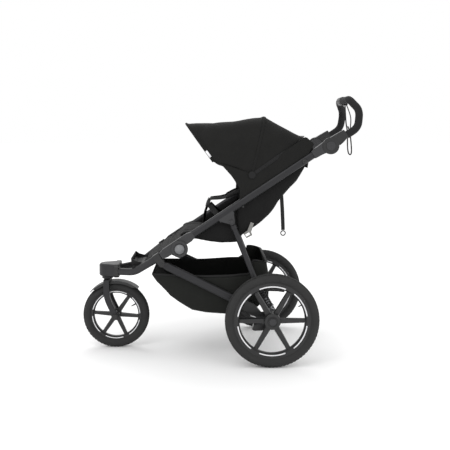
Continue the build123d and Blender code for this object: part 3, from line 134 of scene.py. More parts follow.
def bump_height(tree, pattern, size_mm, place):
    """The height given by one bump pattern: noise, cells, ribs or weave."""
    def wave(axis):
        return add(tree, "ShaderNodeTexWave", {"Scale": WAVE_SCALE / size_mm}, {"Vector": place},
                   bands_direction=axis).outputs["Fac"]

    if pattern == "noise":
        return add(tree, "ShaderNodeTexNoise", {"Scale": 1000 / size_mm, "Detail": 3.0},
                   {"Vector": place}).outputs["Fac"]
    if pattern == "cells":
        return add(tree, "ShaderNodeTexVoronoi", {"Scale": 1000 / size_mm},
                   {"Vector": place}).outputs["Distance"]
    if pattern == "ribs":
        return wave("Z")
    threads = add(tree, "ShaderNodeMath", {}, {0: wave("X"), 1: wave("Z")}, operation="MULTIPLY")
    return add(tree, "ShaderNodeMath", {}, {0: threads.outputs[0], 1: wave("Y")}, operation="ADD").outputs[0]


def shade(colour, factor):
    """The same colour, darker or lighter by a factor."""
    return tuple(min(1.0, c * factor) for c in colour[:3]) + (1.0,)


def finish_material(name, colour, second, patch_mm, roughness, metallic, bumps, sheen=0.0, shine=0.5):
    """A shader with two tones in soft patches, and bump layers (pattern, size in mm, depth in mm).

    A tone is an sRGB hex; the first may be a colour setting, and the second its share of the first.
    """
    colour = linear(colour) if isinstance(colour, str) else colour[:]
    second = linear(second) if isinstance(second, str) else shade(colour, second)
    material = MATERIALS[name] = bpy.data.materials.new(name)
    material.use_nodes = True
    tree = material.node_tree
    tree.nodes.clear()
    place = add(tree, "ShaderNodeTexCoord").outputs["Object"]
    patches = add(tree, "ShaderNodeTexNoise", {"Scale": 1000 / patch_mm, "Detail": 4.0, "Roughness": 0.6},
                  {"Vector": place}).outputs["Fac"]
    mix = add(tree, "ShaderNodeMix", {6: colour, 7: second}, {0: patches}, data_type="RGBA")
    rough = add(tree, "ShaderNodeMapRange", {"To Min": roughness - ROUGHNESS_SWING,
                                             "To Max": roughness + ROUGHNESS_SWING}, {"Value": patches})
    shader = add(tree, "ShaderNodeBsdfPrincipled",
                 {"Metallic": metallic, "Sheen Weight": sheen, "Specular IOR Level": shine},
                 {"Base Color": mix.outputs[2], "Roughness": rough.outputs[0]})
    normal = None
    for pattern, size_mm, depth_mm in bumps:
        links = {"Height": bump_height(tree, pattern, size_mm, place)}
        if normal:
            links["Normal"] = normal
        bump = add(tree, "ShaderNodeBump", {"Strength": BUMP_STRENGTH, "Distance": depth_mm * MM}, links)
        normal = bump.outputs["Normal"]
    tree.links.new(normal, shader.inputs["Normal"])
    add(tree, "ShaderNodeOutputMaterial", {}, {"Surface": shader.outputs["BSDF"]})


def make_materials():
    hues = bpy.context.scene.stroller_colours
    # anodised aluminium: satin, with the die's fine draw marks and a slight mottling
    finish_material("anodised_aluminium", hues.frame_grey, 0.86, 60, 0.40, 0.55, [("noise", 1.2, 0.03)])
    # glass-filled nylon: moulded matt grey with a fine spark-eroded grain
    finish_material("glass_filled_nylon", hues.frame_plastic, 0.85, 30, 0.5, 0.0, [("noise", 0.9, 0.05)])
    # ABS: near-black, slightly shinier, grain only just seen
    finish_material("moulded_abs", hues.black_plastic, 0.75, 25, 0.42, 0.0, [("noise", 0.8, 0.04)])
    # tyre rubber: dry, in soft patches of two tones, fine pits
    finish_material("tyre_rubber", hues.rubber, 0.8, 40, 0.72, 0.0,
                    [("noise", 2.0, 0.12), ("noise", 0.7, 0.05)], shine=0.3)
    # polyester plain weave, drawn coarse enough that the threads show, with a little pile
    for key, hue, size in (("seat", hues.cloth_seat, 1.4), ("canopy", hues.cloth_canopy, 1.2),
                           ("basket", hues.cloth_basket, 1.8)):
        finish_material("woven_polyester_" + key, hue, 0.84, 45, 0.82, 0.0,
                        [("noise", 28, 0.9), ("weave", size, 0.12)], sheen=0.02, shine=0.16)
    # polypropylene webbing: fine cross ribs
    finish_material("polypropylene_webbing", "#191919", "#101010", 12, 0.62, 0.0, [("ribs", 1.6, 0.15)],
                    shine=0.25)
    # closed-cell foam: matt skin with small pores
    finish_material("closed_cell_foam", "#1f1f20", "#161617", 9, 0.78, 0.0,
                    [("cells", 1.6, 0.18), ("noise", 7, 0.2)], shine=0.25)
    # zinc-plated steel: bright with faint streaks
    finish_material("zinc_plated_steel", "#a4a5a8", "#87888b", 8, 0.3, 1.0, [("noise", 0.6, 0.02)])
    # powder-coated spring wire: dark, satin, slightly pebbled
    finish_material("powder_coated_wire", "#2b2b2c", "#1d1d1e", 6, 0.38, 0.2, [("noise", 1.0, 0.04)])
    # retroreflective film: pale, faintly beaded
    finish_material("retroreflective_film", hues.reflective, 0.9, 10, 0.35, 0.1, [("cells", 0.9, 0.04)])
    # satin polycarbonate of the hinge discs: mid grey, smooth
    finish_material("satin_polycarbonate", "#77787a", "#6c6d6f", 14, 0.4, 0.0, [("noise", 1.0, 0.03)])
    # matt polypropylene: black, dull, fine grain
    finish_material("matt_polypropylene", "#0f0f10", "#0a0a0b", 14, 0.55, 0.0, [("noise", 1.0, 0.04)],
                    shine=0.3)
    # acetal: pale grey, slightly waxy
    finish_material("pale_acetal", "#84837f", "#737270", 10, 0.4, 0.0, [("noise", 0.9, 0.03)])


CAD_FINISHES = {
    "anodised_aluminium": ["main_tubes", "hinge_cross_tube", "front_tubes", "front_head", "chassis_tubes",
                           "struts", "axle_beam", "fork", "handlebar_tube"],
    "glass_filled_nylon": ["hinge_housings", "handle_hubs", "strut_brackets", "front_hinges", "fold_discs",
                           "wheel_cap_left", "wheel_cap_right", "handle_button_left", "handle_button_right",
                           "buckle_button"],
    "moulded_abs": ["harness_buckle", "head_collar", "chassis_brackets", "chassis_ends", "swing_arms",
                    "brake_housings", "brake_pedal", "front_axle", "rear_rim_left", "rear_rim_right",
                    "front_fender", "front_rim", "handle_cheeks", "cable_housing", "brake_twist_grip",
                    "recline_ring", "canopy_mid_bow", "canopy_front_bow"],
    "tyre_rubber": ["rear_tyre_left", "rear_tyre_right", "front_tyre"],
    "closed_cell_foam": ["handlebar_grip"],
    "matt_polypropylene": ["canopy_hubs", "footrest"],
    "zinc_plated_steel": ["shock_rod_left", "shock_rod_right"],
    "pale_acetal": ["fold_catch"],
    "powder_coated_wire": ["shock_springs"],
    "woven_polyester_seat": ["seat_sling", "seat_cushion", "leg_rest", "backrest"],
    "woven_polyester_canopy": ["canopy_front_cover", "canopy_mid_cover", "canopy_rear_cover"],
    "woven_polyester_basket": ["basket"],
    "polypropylene_webbing": ["lap_straps", "shoulder_straps", "recline_strap", "brake_cable", "wrist_strap"],
}


def dress_frame():
    """Gives each solid of the frame its finish."""
    for finish, nodes in CAD_FINISHES.items():
        for node in nodes:
            item = frame["nodes"][node]
            item.data.materials.clear()
            item.data.materials.append(MATERIALS[finish])


# ---------------------------------------------------------------- shapes
def linked(name, data):
    """A new object in the scene that holds the data."""
    item = bpy.data.objects.new(name, data)
    bpy.context.scene.collection.objects.link(item)
    return item


def piece(name, verts, faces, finish):
    """A smooth mesh object at the origin with its place in its vertices."""
    mesh = bpy.data.meshes.new(name)
    mesh.from_pydata([tuple(v) for v in verts], [], faces)
    mesh.validate()
    mesh.materials.append(MATERIALS[finish])
    mesh.polygons.foreach_set("use_smooth", [True] * len(mesh.polygons))
    return linked(name, mesh)


def tidy_normals(item, merge=CLOSE):
    """Merges doubles and turns every face outwards."""
    shell = bmesh.new()
    shell.from_mesh(item.data)
    bmesh.ops.remove_doubles(shell, verts=shell.verts, dist=merge)
    bmesh.ops.recalc_face_normals(shell, faces=shell.faces)
    shell.to_mesh(item.data)
    shell.free()


def settle(item):
    """Applies every modifier: a mesh stays the same object, and a curve gives a new one."""
    bpy.context.view_layer.update()
    graph = bpy.context.evaluated_depsgraph_get()
    mesh = bpy.data.meshes.new_from_object(item.evaluated_get(graph), depsgraph=graph)
    item.modifiers.clear()
    if item.type != "MESH":
        return linked(item.name + "_mesh", mesh)
    mesh.name = item.data.name
    item.data = mesh
    return item


def modify(item, kind, **values):
    """Adds one modifier and applies it."""
    modifier = item.modifiers.new(kind.title(), kind)
    for key, value in values.items():
        setattr(modifier, key, value)
    return settle(item)


def sheet_of(name, rows, finish, wall, offset=0.0):
    """A sheet through rows of points, thickened to a closed wall."""
    rows = [list(map(Vector, row)) for row in rows]
    across = len(rows[0])
    faces = [(i * across + j, i * across + j + 1, (i + 1) * across + j + 1, (i + 1) * across + j)
             for i in range(len(rows) - 1) for j in range(across - 1)]
    item = piece(name, [p for row in rows for p in row], faces, finish)
    tidy_normals(item, CLOTH_WELD)
    return modify(item, "SOLIDIFY", thickness=wall, offset=offset, use_even_offset=True)


def rounded(corners, radius, steps=6):
    """Points along a line of runs whose corners are rounded off by the radius, or by one radius for each."""
    radii = [radius] * (len(corners) - 2) if isinstance(radius, (int, float)) else list(radius)
    corners = [Vector(c) for c in corners]
    out = [corners[0]]
    for k in range(1, len(corners) - 1):
        a, b, c = corners[k - 1], corners[k], corners[k + 1]
        cut = min(radii[k - 1], 0.49 * (a - b).length, 0.49 * (c - b).length)
        start, end = b + (a - b).normalized() * cut, b + (c - b).normalized() * cut
        for i in range(steps + 1):
            t = i / steps
            out.append(start * (1 - t) ** 2 + b * 2 * t * (1 - t) + end * t * t)
    out.append(corners[-1])
    return out


def spread(points, count):
    """The same line with a number of evenly spaced points."""
    points = [Vector(p) for p in points]
    marks = [0.0]
    for a, b in zip(points, points[1:]):
        marks.append(marks[-1] + (b - a).length)
    out, k = [], 0
    for i in range(count):
        target = marks[-1] * i / (count - 1)
        while k < len(points) - 2 and marks[k + 1] < target:
            k += 1
        span = marks[k + 1] - marks[k]
        out.append(points[k].lerp(points[k + 1], (target - marks[k]) / span if span > 0 else 0))
    return out


def wrinkle(item, size, depth, seed, keep=None):
    """Moves a sheet's points along their normals by a smooth noise, less where keep says so."""
    for vertex in item.data.vertices:
        place = vertex.co / size + Vector((seed, seed, seed))
        amount = noise.noise(place) * depth
        if keep:
            amount *= keep(vertex.co)
        vertex.co += vertex.normal * amount
    item.data.update()


def tube(name, points, radius, finish, sides=10, closed=False):
    """A round bar along smooth points."""
    return ribbon(name, points, radius, radius, finish, sides, closed)


def ribbon(name, points, half_wide, half_thick, finish, sides=12, closed=False, wide=(0, 1, 0), corner=1.0):
    """A flat or round bar along points; its width lies along the wide direction."""
    points = [Vector(p) for p in points]
    rings = []
    for k, point in enumerate(points):
        ahead = points[(k + 1) % len(points)] if closed else points[min(k + 1, len(points) - 1)]
        behind = points[k - 1] if closed or k else points[0]
        way = (ahead - behind).normalized()
        side = Vector(wide) - way * way.dot(Vector(wide))
        side = side.normalized() if side.length > 1e-4 else way.orthogonal().normalized()
        up = way.cross(side).normalized()
        ring = []
        for i in range(sides):
            a = 2 * pi * i / sides
            x, y = cos(a), sin(a)
            if corner != 1.0:
                x, y = (abs(v) ** corner * (1 if v > 0 else -1) for v in (x, y))
            ring.append(point + side * x * half_wide + up * y * half_thick)
        rings.append(ring)
    verts = [p for ring in rings for p in ring]
    count = len(rings)
    faces = []
    for k in range(count if closed else count - 1):
        for i in range(sides):
            a, b = k * sides, ((k + 1) % count) * sides
            faces.append((a + i, a + (i + 1) % sides, b + (i + 1) % sides, b + i))
    if not closed:
        faces.append(tuple(range(sides))[::-1])
        faces.append(tuple(range((count - 1) * sides, count * sides)))
    item = piece(name, verts, faces, finish)
    tidy_normals(item)
    return item


def webbing(name, route, half_wide, half_thick, wide):
    """A flat strap with rounded edges along a route."""
    return ribbon(name, route, half_wide, half_thick, "polypropylene_webbing", 12, wide=wide, corner=0.4)


def curve_of(name, points, kind, resolution=12):
    """Curve data with one open line of the given kind, and that line."""
    data = bpy.data.curves.new(name, "CURVE")
    data.dimensions = "3D"
    data.resolution_u = resolution
    line = data.splines.new(kind)
    line.points.add(len(points) - 1)
    for control, point in zip(line.points, points):
        control.co = (*point, 1.0)
    return data, line


def nurbs(name, points, bevel=0.0):
    """A NURBS curve object with the points as its control points, round where it has a bevel."""
    data, line = curve_of(name, points, "NURBS", 16)
    line.order_u = 3
    line.use_endpoint_u = True
    data.bevel_depth = bevel
    data.bevel_resolution = 4
    data.use_fill_caps = True
    return linked(name, data)


def spline_points(points):
    """Points read from the NURBS line that has the given points as its control points."""
    curve = nurbs("route", points)
    graph = bpy.context.evaluated_depsgraph_get()
    bpy.context.view_layer.update()
    mesh = bpy.data.meshes.new_from_object(curve.evaluated_get(graph), depsgraph=graph)
    out = [v.co.copy() for v in mesh.vertices]
    bpy.data.meshes.remove(mesh)
    bpy.data.objects.remove(curve)
    return out


def joined(items, name):
    """Several meshes as one piece."""
    shell = bmesh.new()
    for item in items:
        shell.from_mesh(item.data)
    mesh = bpy.data.meshes.new(name)
    shell.to_mesh(mesh)
    shell.free()
    mesh.materials.append(items[0].data.materials[0])
    mesh.polygons.foreach_set("use_smooth", [True] * len(mesh.polygons))
    out = linked(name, mesh)
    for item in items:
        bpy.data.objects.remove(item)
    return out


def carried(item, mover, nodes=(), squash=None):
    """Hangs a piece on the body that moves it, or fixes it in place when given a blend of two, and hides the
    solids it stands for.
    """
    if nodes:
        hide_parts(*nodes)
    if squash:
        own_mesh(item)
    if isinstance(mover, str):
        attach(item, mover)
    else:
        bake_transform(item)


CLOTH_PRESSURE, CLOTH_STEPS = 4.0, 20


def plump(item, voxel, cap):
    """Remeshes a closed form, blows it up as cloth, holds back points that move too far and smooths it."""
    modify(item, "REMESH", mode="VOXEL", voxel_size=voxel, use_smooth_shade=True)
    before = np.array([v.co for v in item.data.vertices])
    cloth = item.modifiers.new("Cloth", "CLOTH")
    cloth.settings.use_pressure = True
    cloth.settings.uniform_pressure_force = CLOTH_PRESSURE
    cloth.settings.effector_weights.gravity = 0.0
    cloth.settings.quality = 5
    cloth.point_cache.frame_start, cloth.point_cache.frame_end = 1, CLOTH_STEPS
    for step in range(1, CLOTH_STEPS + 1):
        bpy.context.scene.frame_set(step)
    settle(item)
    bpy.context.scene.frame_set(1)
    move = np.array([v.co for v in item.data.vertices]) - before
    far = np.linalg.norm(move, axis=1, keepdims=True)
    after = before + move * np.minimum(1.0, cap / np.maximum(far, 1e-9))
    item.data.vertices.foreach_set("co", after.astype(np.float32).ravel())
    item.data.update()
    return modify(item, "SMOOTH", factor=0.5, iterations=3)


def groove(item, distance, width, depth):
    """Presses a sewn channel into a pad, where distance gives how far a point is from the seam."""
    for vertex in item.data.vertices:
        off = distance(vertex.co)
        if off < 3 * width:
            vertex.co -= vertex.normal * depth * np.exp(-(off / width) ** 2)
    item.data.update()


def kept_in(item, low, high):
    """Holds a soft piece inside a box."""
    for vertex in item.data.vertices:
        for i in range(3):
            vertex.co[i] = min(max(vertex.co[i], low[i]), high[i])
    item.data.update()


# ---------------------------------------------------------------- places shared with the frame
def mm(*values):
    return Vector([v * MM for v in values])


def heading(angle):
    """The direction in the side view that rises by an angle in degrees from +X."""
    return Vector((cos(radians(angle)), 0, sin(radians(angle))))


def square_to(way):
    """The direction in the side view a quarter turn up from another."""
    return Vector((-way.z, 0, way.x))


JOINTS = {joint["name"]: Vector(joint["pos_m"]) for joint in frame["record"]["behaviour"]["joints"]
          if "pos_m" in joint}
FOLD, CANOPY = JOINTS["fold"], JOINTS["canopy_mid_fold"]
RAIL = heading(33.64)
RAIL_UP = square_to(RAIL)


def on_rail(along, across, y=0.0):
    """A point along and across the rails from the fold axis, in millimetres."""
    spot = FOLD + RAIL * along * MM + RAIL_UP * across * MM
    return Vector((spot.x, y, spot.z))


def side_points(pairs, y):
    """Points of the side view, given in millimetres, at one place across."""
    return [Vector((x * MM, y, z * MM)) for x, z in pairs]


def lifted(points, centre, height):
    """The same line, raised off the cloth away from a centre."""
    return [p + (p - centre).normalized() * height for p in points]


# ---------------------------------------------------------------- repeated details by geometry nodes
def scatter_tree(name, shape):
    """A tree that sets a small shape along a line at even spacing, turned to follow it."""
    tree = bpy.data.node_groups.new(name, "GeometryNodeTree")
    face = tree.interface
    face.new_socket("Line", in_out="INPUT", socket_type="NodeSocketGeometry")
    for label, value in (("Pitch", 0.01), ("Length", 0.004), ("Width", 0.001), ("Height", 0.001)):
        socket = face.new_socket(label, in_out="INPUT", socket_type="NodeSocketFloat")
        socket.default_value = value
    face.new_socket("Finish", in_out="INPUT", socket_type="NodeSocketMaterial")
    face.new_socket("Result", in_out="OUTPUT", socket_type="NodeSocketGeometry")
    start, end = tree.nodes.new("NodeGroupInput"), tree.nodes.new("NodeGroupOutput")
    given = start.outputs
    if shape == "peg":
        body = add(tree, "GeometryNodeMeshCylinder", {"Vertices": 6, "Radius": 0.5, "Depth": 1.0})
    else:
        body = add(tree, "GeometryNodeMeshCube")
    size = add(tree, "ShaderNodeCombineXYZ", {},
               {"X": given["Width"], "Y": given["Height"], "Z": given["Length"]})
    sized = add(tree, "GeometryNodeTransform", {},
                {"Geometry": body.outputs["Mesh"], "Scale": size.outputs[0]})
    points = add(tree, "GeometryNodeCurveToPoints", {}, {"Curve": given["Line"], "Length": given["Pitch"]},
                 mode="LENGTH").outputs
    placed = add(tree, "GeometryNodeInstanceOnPoints", {}, {
        "Points": points["Points"], "Instance": sized.outputs["Geometry"], "Rotation": points["Rotation"]})
    real = add(tree, "GeometryNodeRealizeInstances", {}, {"Geometry": placed.outputs["Instances"]})
    done = add(tree, "GeometryNodeSetMaterial", {}, {"Geometry": real.outputs["Geometry"],
                                                     "Material": given["Finish"]})
    tree.links.new(done.outputs["Geometry"], end.inputs["Result"])


def set_along(name, lines, group, pitch, length, width, height, finish):
    """Runs a node group over one or more lines and gives the result as one plain mesh."""
    tree = bpy.data.node_groups[group]
    values = {"Pitch": pitch, "Length": length, "Width": width, "Height": height, "Finish": MATERIALS[finish]}
    made = []
    for k, points in enumerate(lines):
        item = linked(f"{name}_{k}", curve_of(f"{name}_line{k}", points, "POLY")[0])
        modifier = item.modifiers.new("Set", "NODES")
        modifier.node_group = tree
        for socket in tree.interface.items_tree:
            if socket.in_out == "INPUT" and socket.name in values:
                modifier[socket.identifier] = values[socket.name]
        made.append(settle(item))
        bpy.data.objects.remove(item)
    out = joined(made, name)
    out.data.materials.clear()
    out.data.materials.append(MATERIALS[finish])
    out.data.polygons.foreach_set("material_index", [0] * len(out.data.polygons))
    return out


# ---------------------------------------------------------------- canopy
FRONT_BEND, FRONT_TIP = mm(-20, 0, 862), mm(-142, 0, 1032)
FRONT_WAY, MIDDLE_WAY, SEAM_WAY = (FRONT_TIP - FRONT_BEND).normalized(), heading(76.5), heading(35.0)
CANOPY_HALF, BOW_FOOT, ARCH_POINTS = 0.212, 4 * MM, 44
PANEL_REAR, PANEL_LEVEL, FLAP_FOOT = 0.405, 0.943, 0.838


def arch(origin, way, height, half, top_half, corner):
    """The line that a bow gives the cloth, from the left foot over the top to the right foot."""
    def spot(y, reach):
        p = origin + way * reach
        return Vector((p.x, y, p.z))

    left = [(-half, BOW_FOOT), (-half, height * 0.55), (-top_half, height)]
    corners = [spot(*place) for place in left] + [spot(-y, reach) for y, reach in reversed(left)]
    return spread(rounded(corners, (corner * 0.7, corner, corner, corner * 0.7)), ARCH_POINTS)


def canopy_rows(near, far, steps, sag):
    """Arches between two bows, with the cloth drawn in a little halfway."""
    rows = []
    for i in range(steps + 1):
        t = i / steps
        row = [a.lerp(b, t) for a, b in zip(near, far)]
        pull = sag * 4 * t * (1 - t)
        middle = Vector((sum(p.x for p in row) / len(row), 0, CANOPY.z))
        rows.append([p + (middle - p).normalized() * pull * min(1, max(0, (p.z - CANOPY.z) / 0.12))
                     for p in row])
    return rows


def slack(p, *bows):
    """How loose the cloth is at a point: nothing along the bows and the lower hem, full between them."""
    share = min(1.0, max(0.0, (p.z - 0.84) / 0.08))
    for origin, way in bows:
        share *= min(1.0, abs((p - origin).dot(square_to(way))) / 0.035)
    return share


class STROLLER_OT_canopy(bpy.types.Operator):
    """Builds the canopy's moving and fixed panels, flap, binding, fell, zip, tag and stitches"""
    bl_idname = "stroller.canopy"
    bl_label = "Canopy"

    def execute(self, context):
        wall, pitch = context.scene.stroller_sizes.cloth_thickness, context.scene.stroller_sizes.stitch_pitch
        front = arch(FRONT_BEND, FRONT_WAY, (FRONT_TIP - FRONT_BEND).length, 0.2065, 0.140, 0.055)
        middle = arch(CANOPY, MIDDLE_WAY, 0.258, CANOPY_HALF, 0.165, 0.060)
        seam = arch(CANOPY, SEAM_WAY, 0.281, CANOPY_HALF, 0.175, 0.060)
        finish, slot = "woven_polyester_canopy", "canopy_cloth"

        # two panels over the bows
        front_rows = canopy_rows(front, middle, 26, 0.010)
        cover = sheet_of("canopy_front_panel", front_rows, finish, wall, -1)
        wrinkle(cover, 0.085, 7 * MM, 3.1, lambda p: slack(p, (FRONT_BEND, FRONT_WAY), (CANOPY, MIDDLE_WAY)))
        carried(cover, ("canopy_mid", "canopy_front", (0.204, 0, 1.06), (-0.11, 0, 0.99)),
                ("canopy_front_cover",))
        cover = sheet_of("canopy_middle_panel", canopy_rows(middle, seam, 16, 0.004), finish, wall, -1)
        wrinkle(cover, 0.075, 5 * MM, 5.3, lambda p: slack(p, (CANOPY, MIDDLE_WAY), (CANOPY, SEAM_WAY)))
        carried(cover, ("main_frame", "canopy_mid", (0.374, 0, 0.970), (0.21, 0, 1.05)),
                ("canopy_mid_cover",))

        # bound edge along the front bow, and a raised fell over the middle bow
        edge = ribbon("canopy_front_binding", front, 4.5 * MM, 2.4 * MM, finish, 10, wide=(1, 0, 0.6))
        carried(edge, "canopy_front")
        fell = ribbon("canopy_middle_fell", lifted(middle, CANOPY, 0.6 * MM), 6 * MM, 1.2 * MM, finish, 10,
                      wide=(1, 0, -0.2))
        carried(fell, "canopy_mid")

        # the zip that closes the rear seam: a dark tape with teeth between its two flaps
        tape = ribbon("canopy_zip_tape", lifted(seam, CANOPY, 0.6 * MM), 8 * MM, 1.4 * MM,
                      "matt_polypropylene", 10, wide=(1, 0, 1.2))
        carried(tape, "main_frame")
        teeth = set_along("canopy_zip_teeth", [lifted(seam, CANOPY, 2 * MM)], "Stitches", 3.2 * MM, 1.8 * MM,
                          3.2 * MM, 1.2 * MM, "moulded_abs")
        carried(teeth, "main_frame")

        # fixed side panels, tucked inside the moving ones above and drawn in over the rails below
        high = [mm(12, -210.3, 857), mm(60, -210.3, 843), mm(144, -210.3, 814), mm(256, -210.3, 892),
                mm(374, -210.3, 974), mm(406, -210.3, 946)]
        low = [mm(14, -211.5, 851), mm(58, -211.5, 802), mm(93, -211.5, 748), on_rail(332, 34.0, -0.2070),
               on_rail(560, 33.6, -0.2065), on_rail(690, 33.8, -0.2068), mm(409, -209, 940)]
        hems = list(zip(spread(high, 40), spread(low, 40)))
        rows = [[a.lerp(b, i / 10) + Vector((0, -1.4 * MM * sin(pi * i / 10), 0)) for a, b in hems]
                for i in range(11)]
        for label, nodes in (("left", ("canopy_rear_cover",)), ("right", ())):
            panel = sheet_of("canopy_side_panel_" + label, rows, finish, wall)
            wrinkle(panel, 0.07, 1.2 * MM, 7.7)
            if label == "right":
                panel.data.transform(Matrix.Scale(-1, 4, (0, 1, 0)))
                tidy_normals(panel)
            carried(panel, "main_frame", nodes)

        # fixed panel behind the seam, down to the rails' level
        over = seam[9:35]
        rows = [[p.lerp(Vector((PANEL_REAR, p.y, min(p.z, PANEL_LEVEL))), i / 8) for p in over]
                for i in range(9)]
        panel = sheet_of("canopy_back_panel", rows, finish, wall)
        carried(panel, "main_frame")

        # flap from the back panel down to the top of the back
        rows = [[Vector((PANEL_REAR - 0.019 * t - 0.004 * sin(pi * t), p.y * (1 - 0.1 * t),
                         min(p.z, PANEL_LEVEL) * (1 - t) + FLAP_FOOT * t)) for p in over]
                for t in (i / 8 for i in range(9))]
        flap = sheet_of("canopy_rear_flap", rows, finish, wall)
        carried(flap, ("main_frame", "back", (0.405, 0, 0.938), (0.386, 0, 0.858)))

        # plain white fabric tag sewn into the front seam on the left
        ends = [front[k].lerp(front[k + 1], 0.5) + Vector((0.003, -0.0022, 0)) for k in (1, 3)]
        tag = ribbon("canopy_tag", ends, 5 * MM, 0.5 * MM, "retroreflective_film", 8, wide=(1, 0, 0.7),
                     corner=0.3)
        carried(tag, "canopy_front")

        # stitches that hold the front binding
        line = lifted(front_rows[2], FRONT_BEND, 1.2 * MM)
        sewn = set_along("canopy_front_stitches", [line], "Stitches", pitch, 0.62 * pitch, 0.9 * MM, 0.7 * MM,
                         "polypropylene_webbing")
        carried(sewn, "canopy_front")
        return {"FINISHED"}


# ---------------------------------------------------------------- seat
SEAT_FLOOR = [(-143, 532), (-98, 528), (-40, 516), (16, 510), (70, 512)]
BACK_REAR = [(80, 518), (100, 548), (121, 560), (139, 575), (183, 608), (218, 639), (231, 655), (257, 696),
             (277, 720), (305, 755), (336, 788), (357, 819), (374, 850)]
BACK_FRONT = [(350, 866), (333, 838), (314, 808), (284, 776), (256, 742), (235, 717), (209, 676), (198, 660),
              (163, 629), (119, 596), (101, 582), (84, 570), (72, 546)]
SEAT_WALL = 1.6 * MM  # of the seat's thinner cloth


def slung(top_left, low_left, radius, count=40):
    """A U-shaped line of cloth from a left edge down, across and up to the right edge."""
    up, low = Vector(top_left), Vector(low_left)
    corners = [up, low, Vector((low.x, -low.y, low.z)), Vector((up.x, -up.y, up.z))]
    return spread(rounded(corners, radius, 8), count)


def prism(name, outline, half, finish):
    """A closed form of a side outline drawn across the seat."""
    left, right = side_points(outline, -half), side_points(outline, half)
    count = len(outline)
    faces = [tuple(range(count)), tuple(range(count, 2 * count))[::-1]]
    faces += [(i, (i + 1) % count, count + (i + 1) % count, count + i) for i in range(count)]
    item = piece(name, left + right, faces, finish)
    tidy_normals(item, CLOTH_WELD)
    return item


def padded(item, channels):
    """Sews channels (distance, width, depth) into a plumped pad and smooths it."""
    for distance, width, depth in channels:
        groove(item, distance, width * MM, depth * MM)
    modify(item, "SUBSURF", levels=1, render_levels=1)


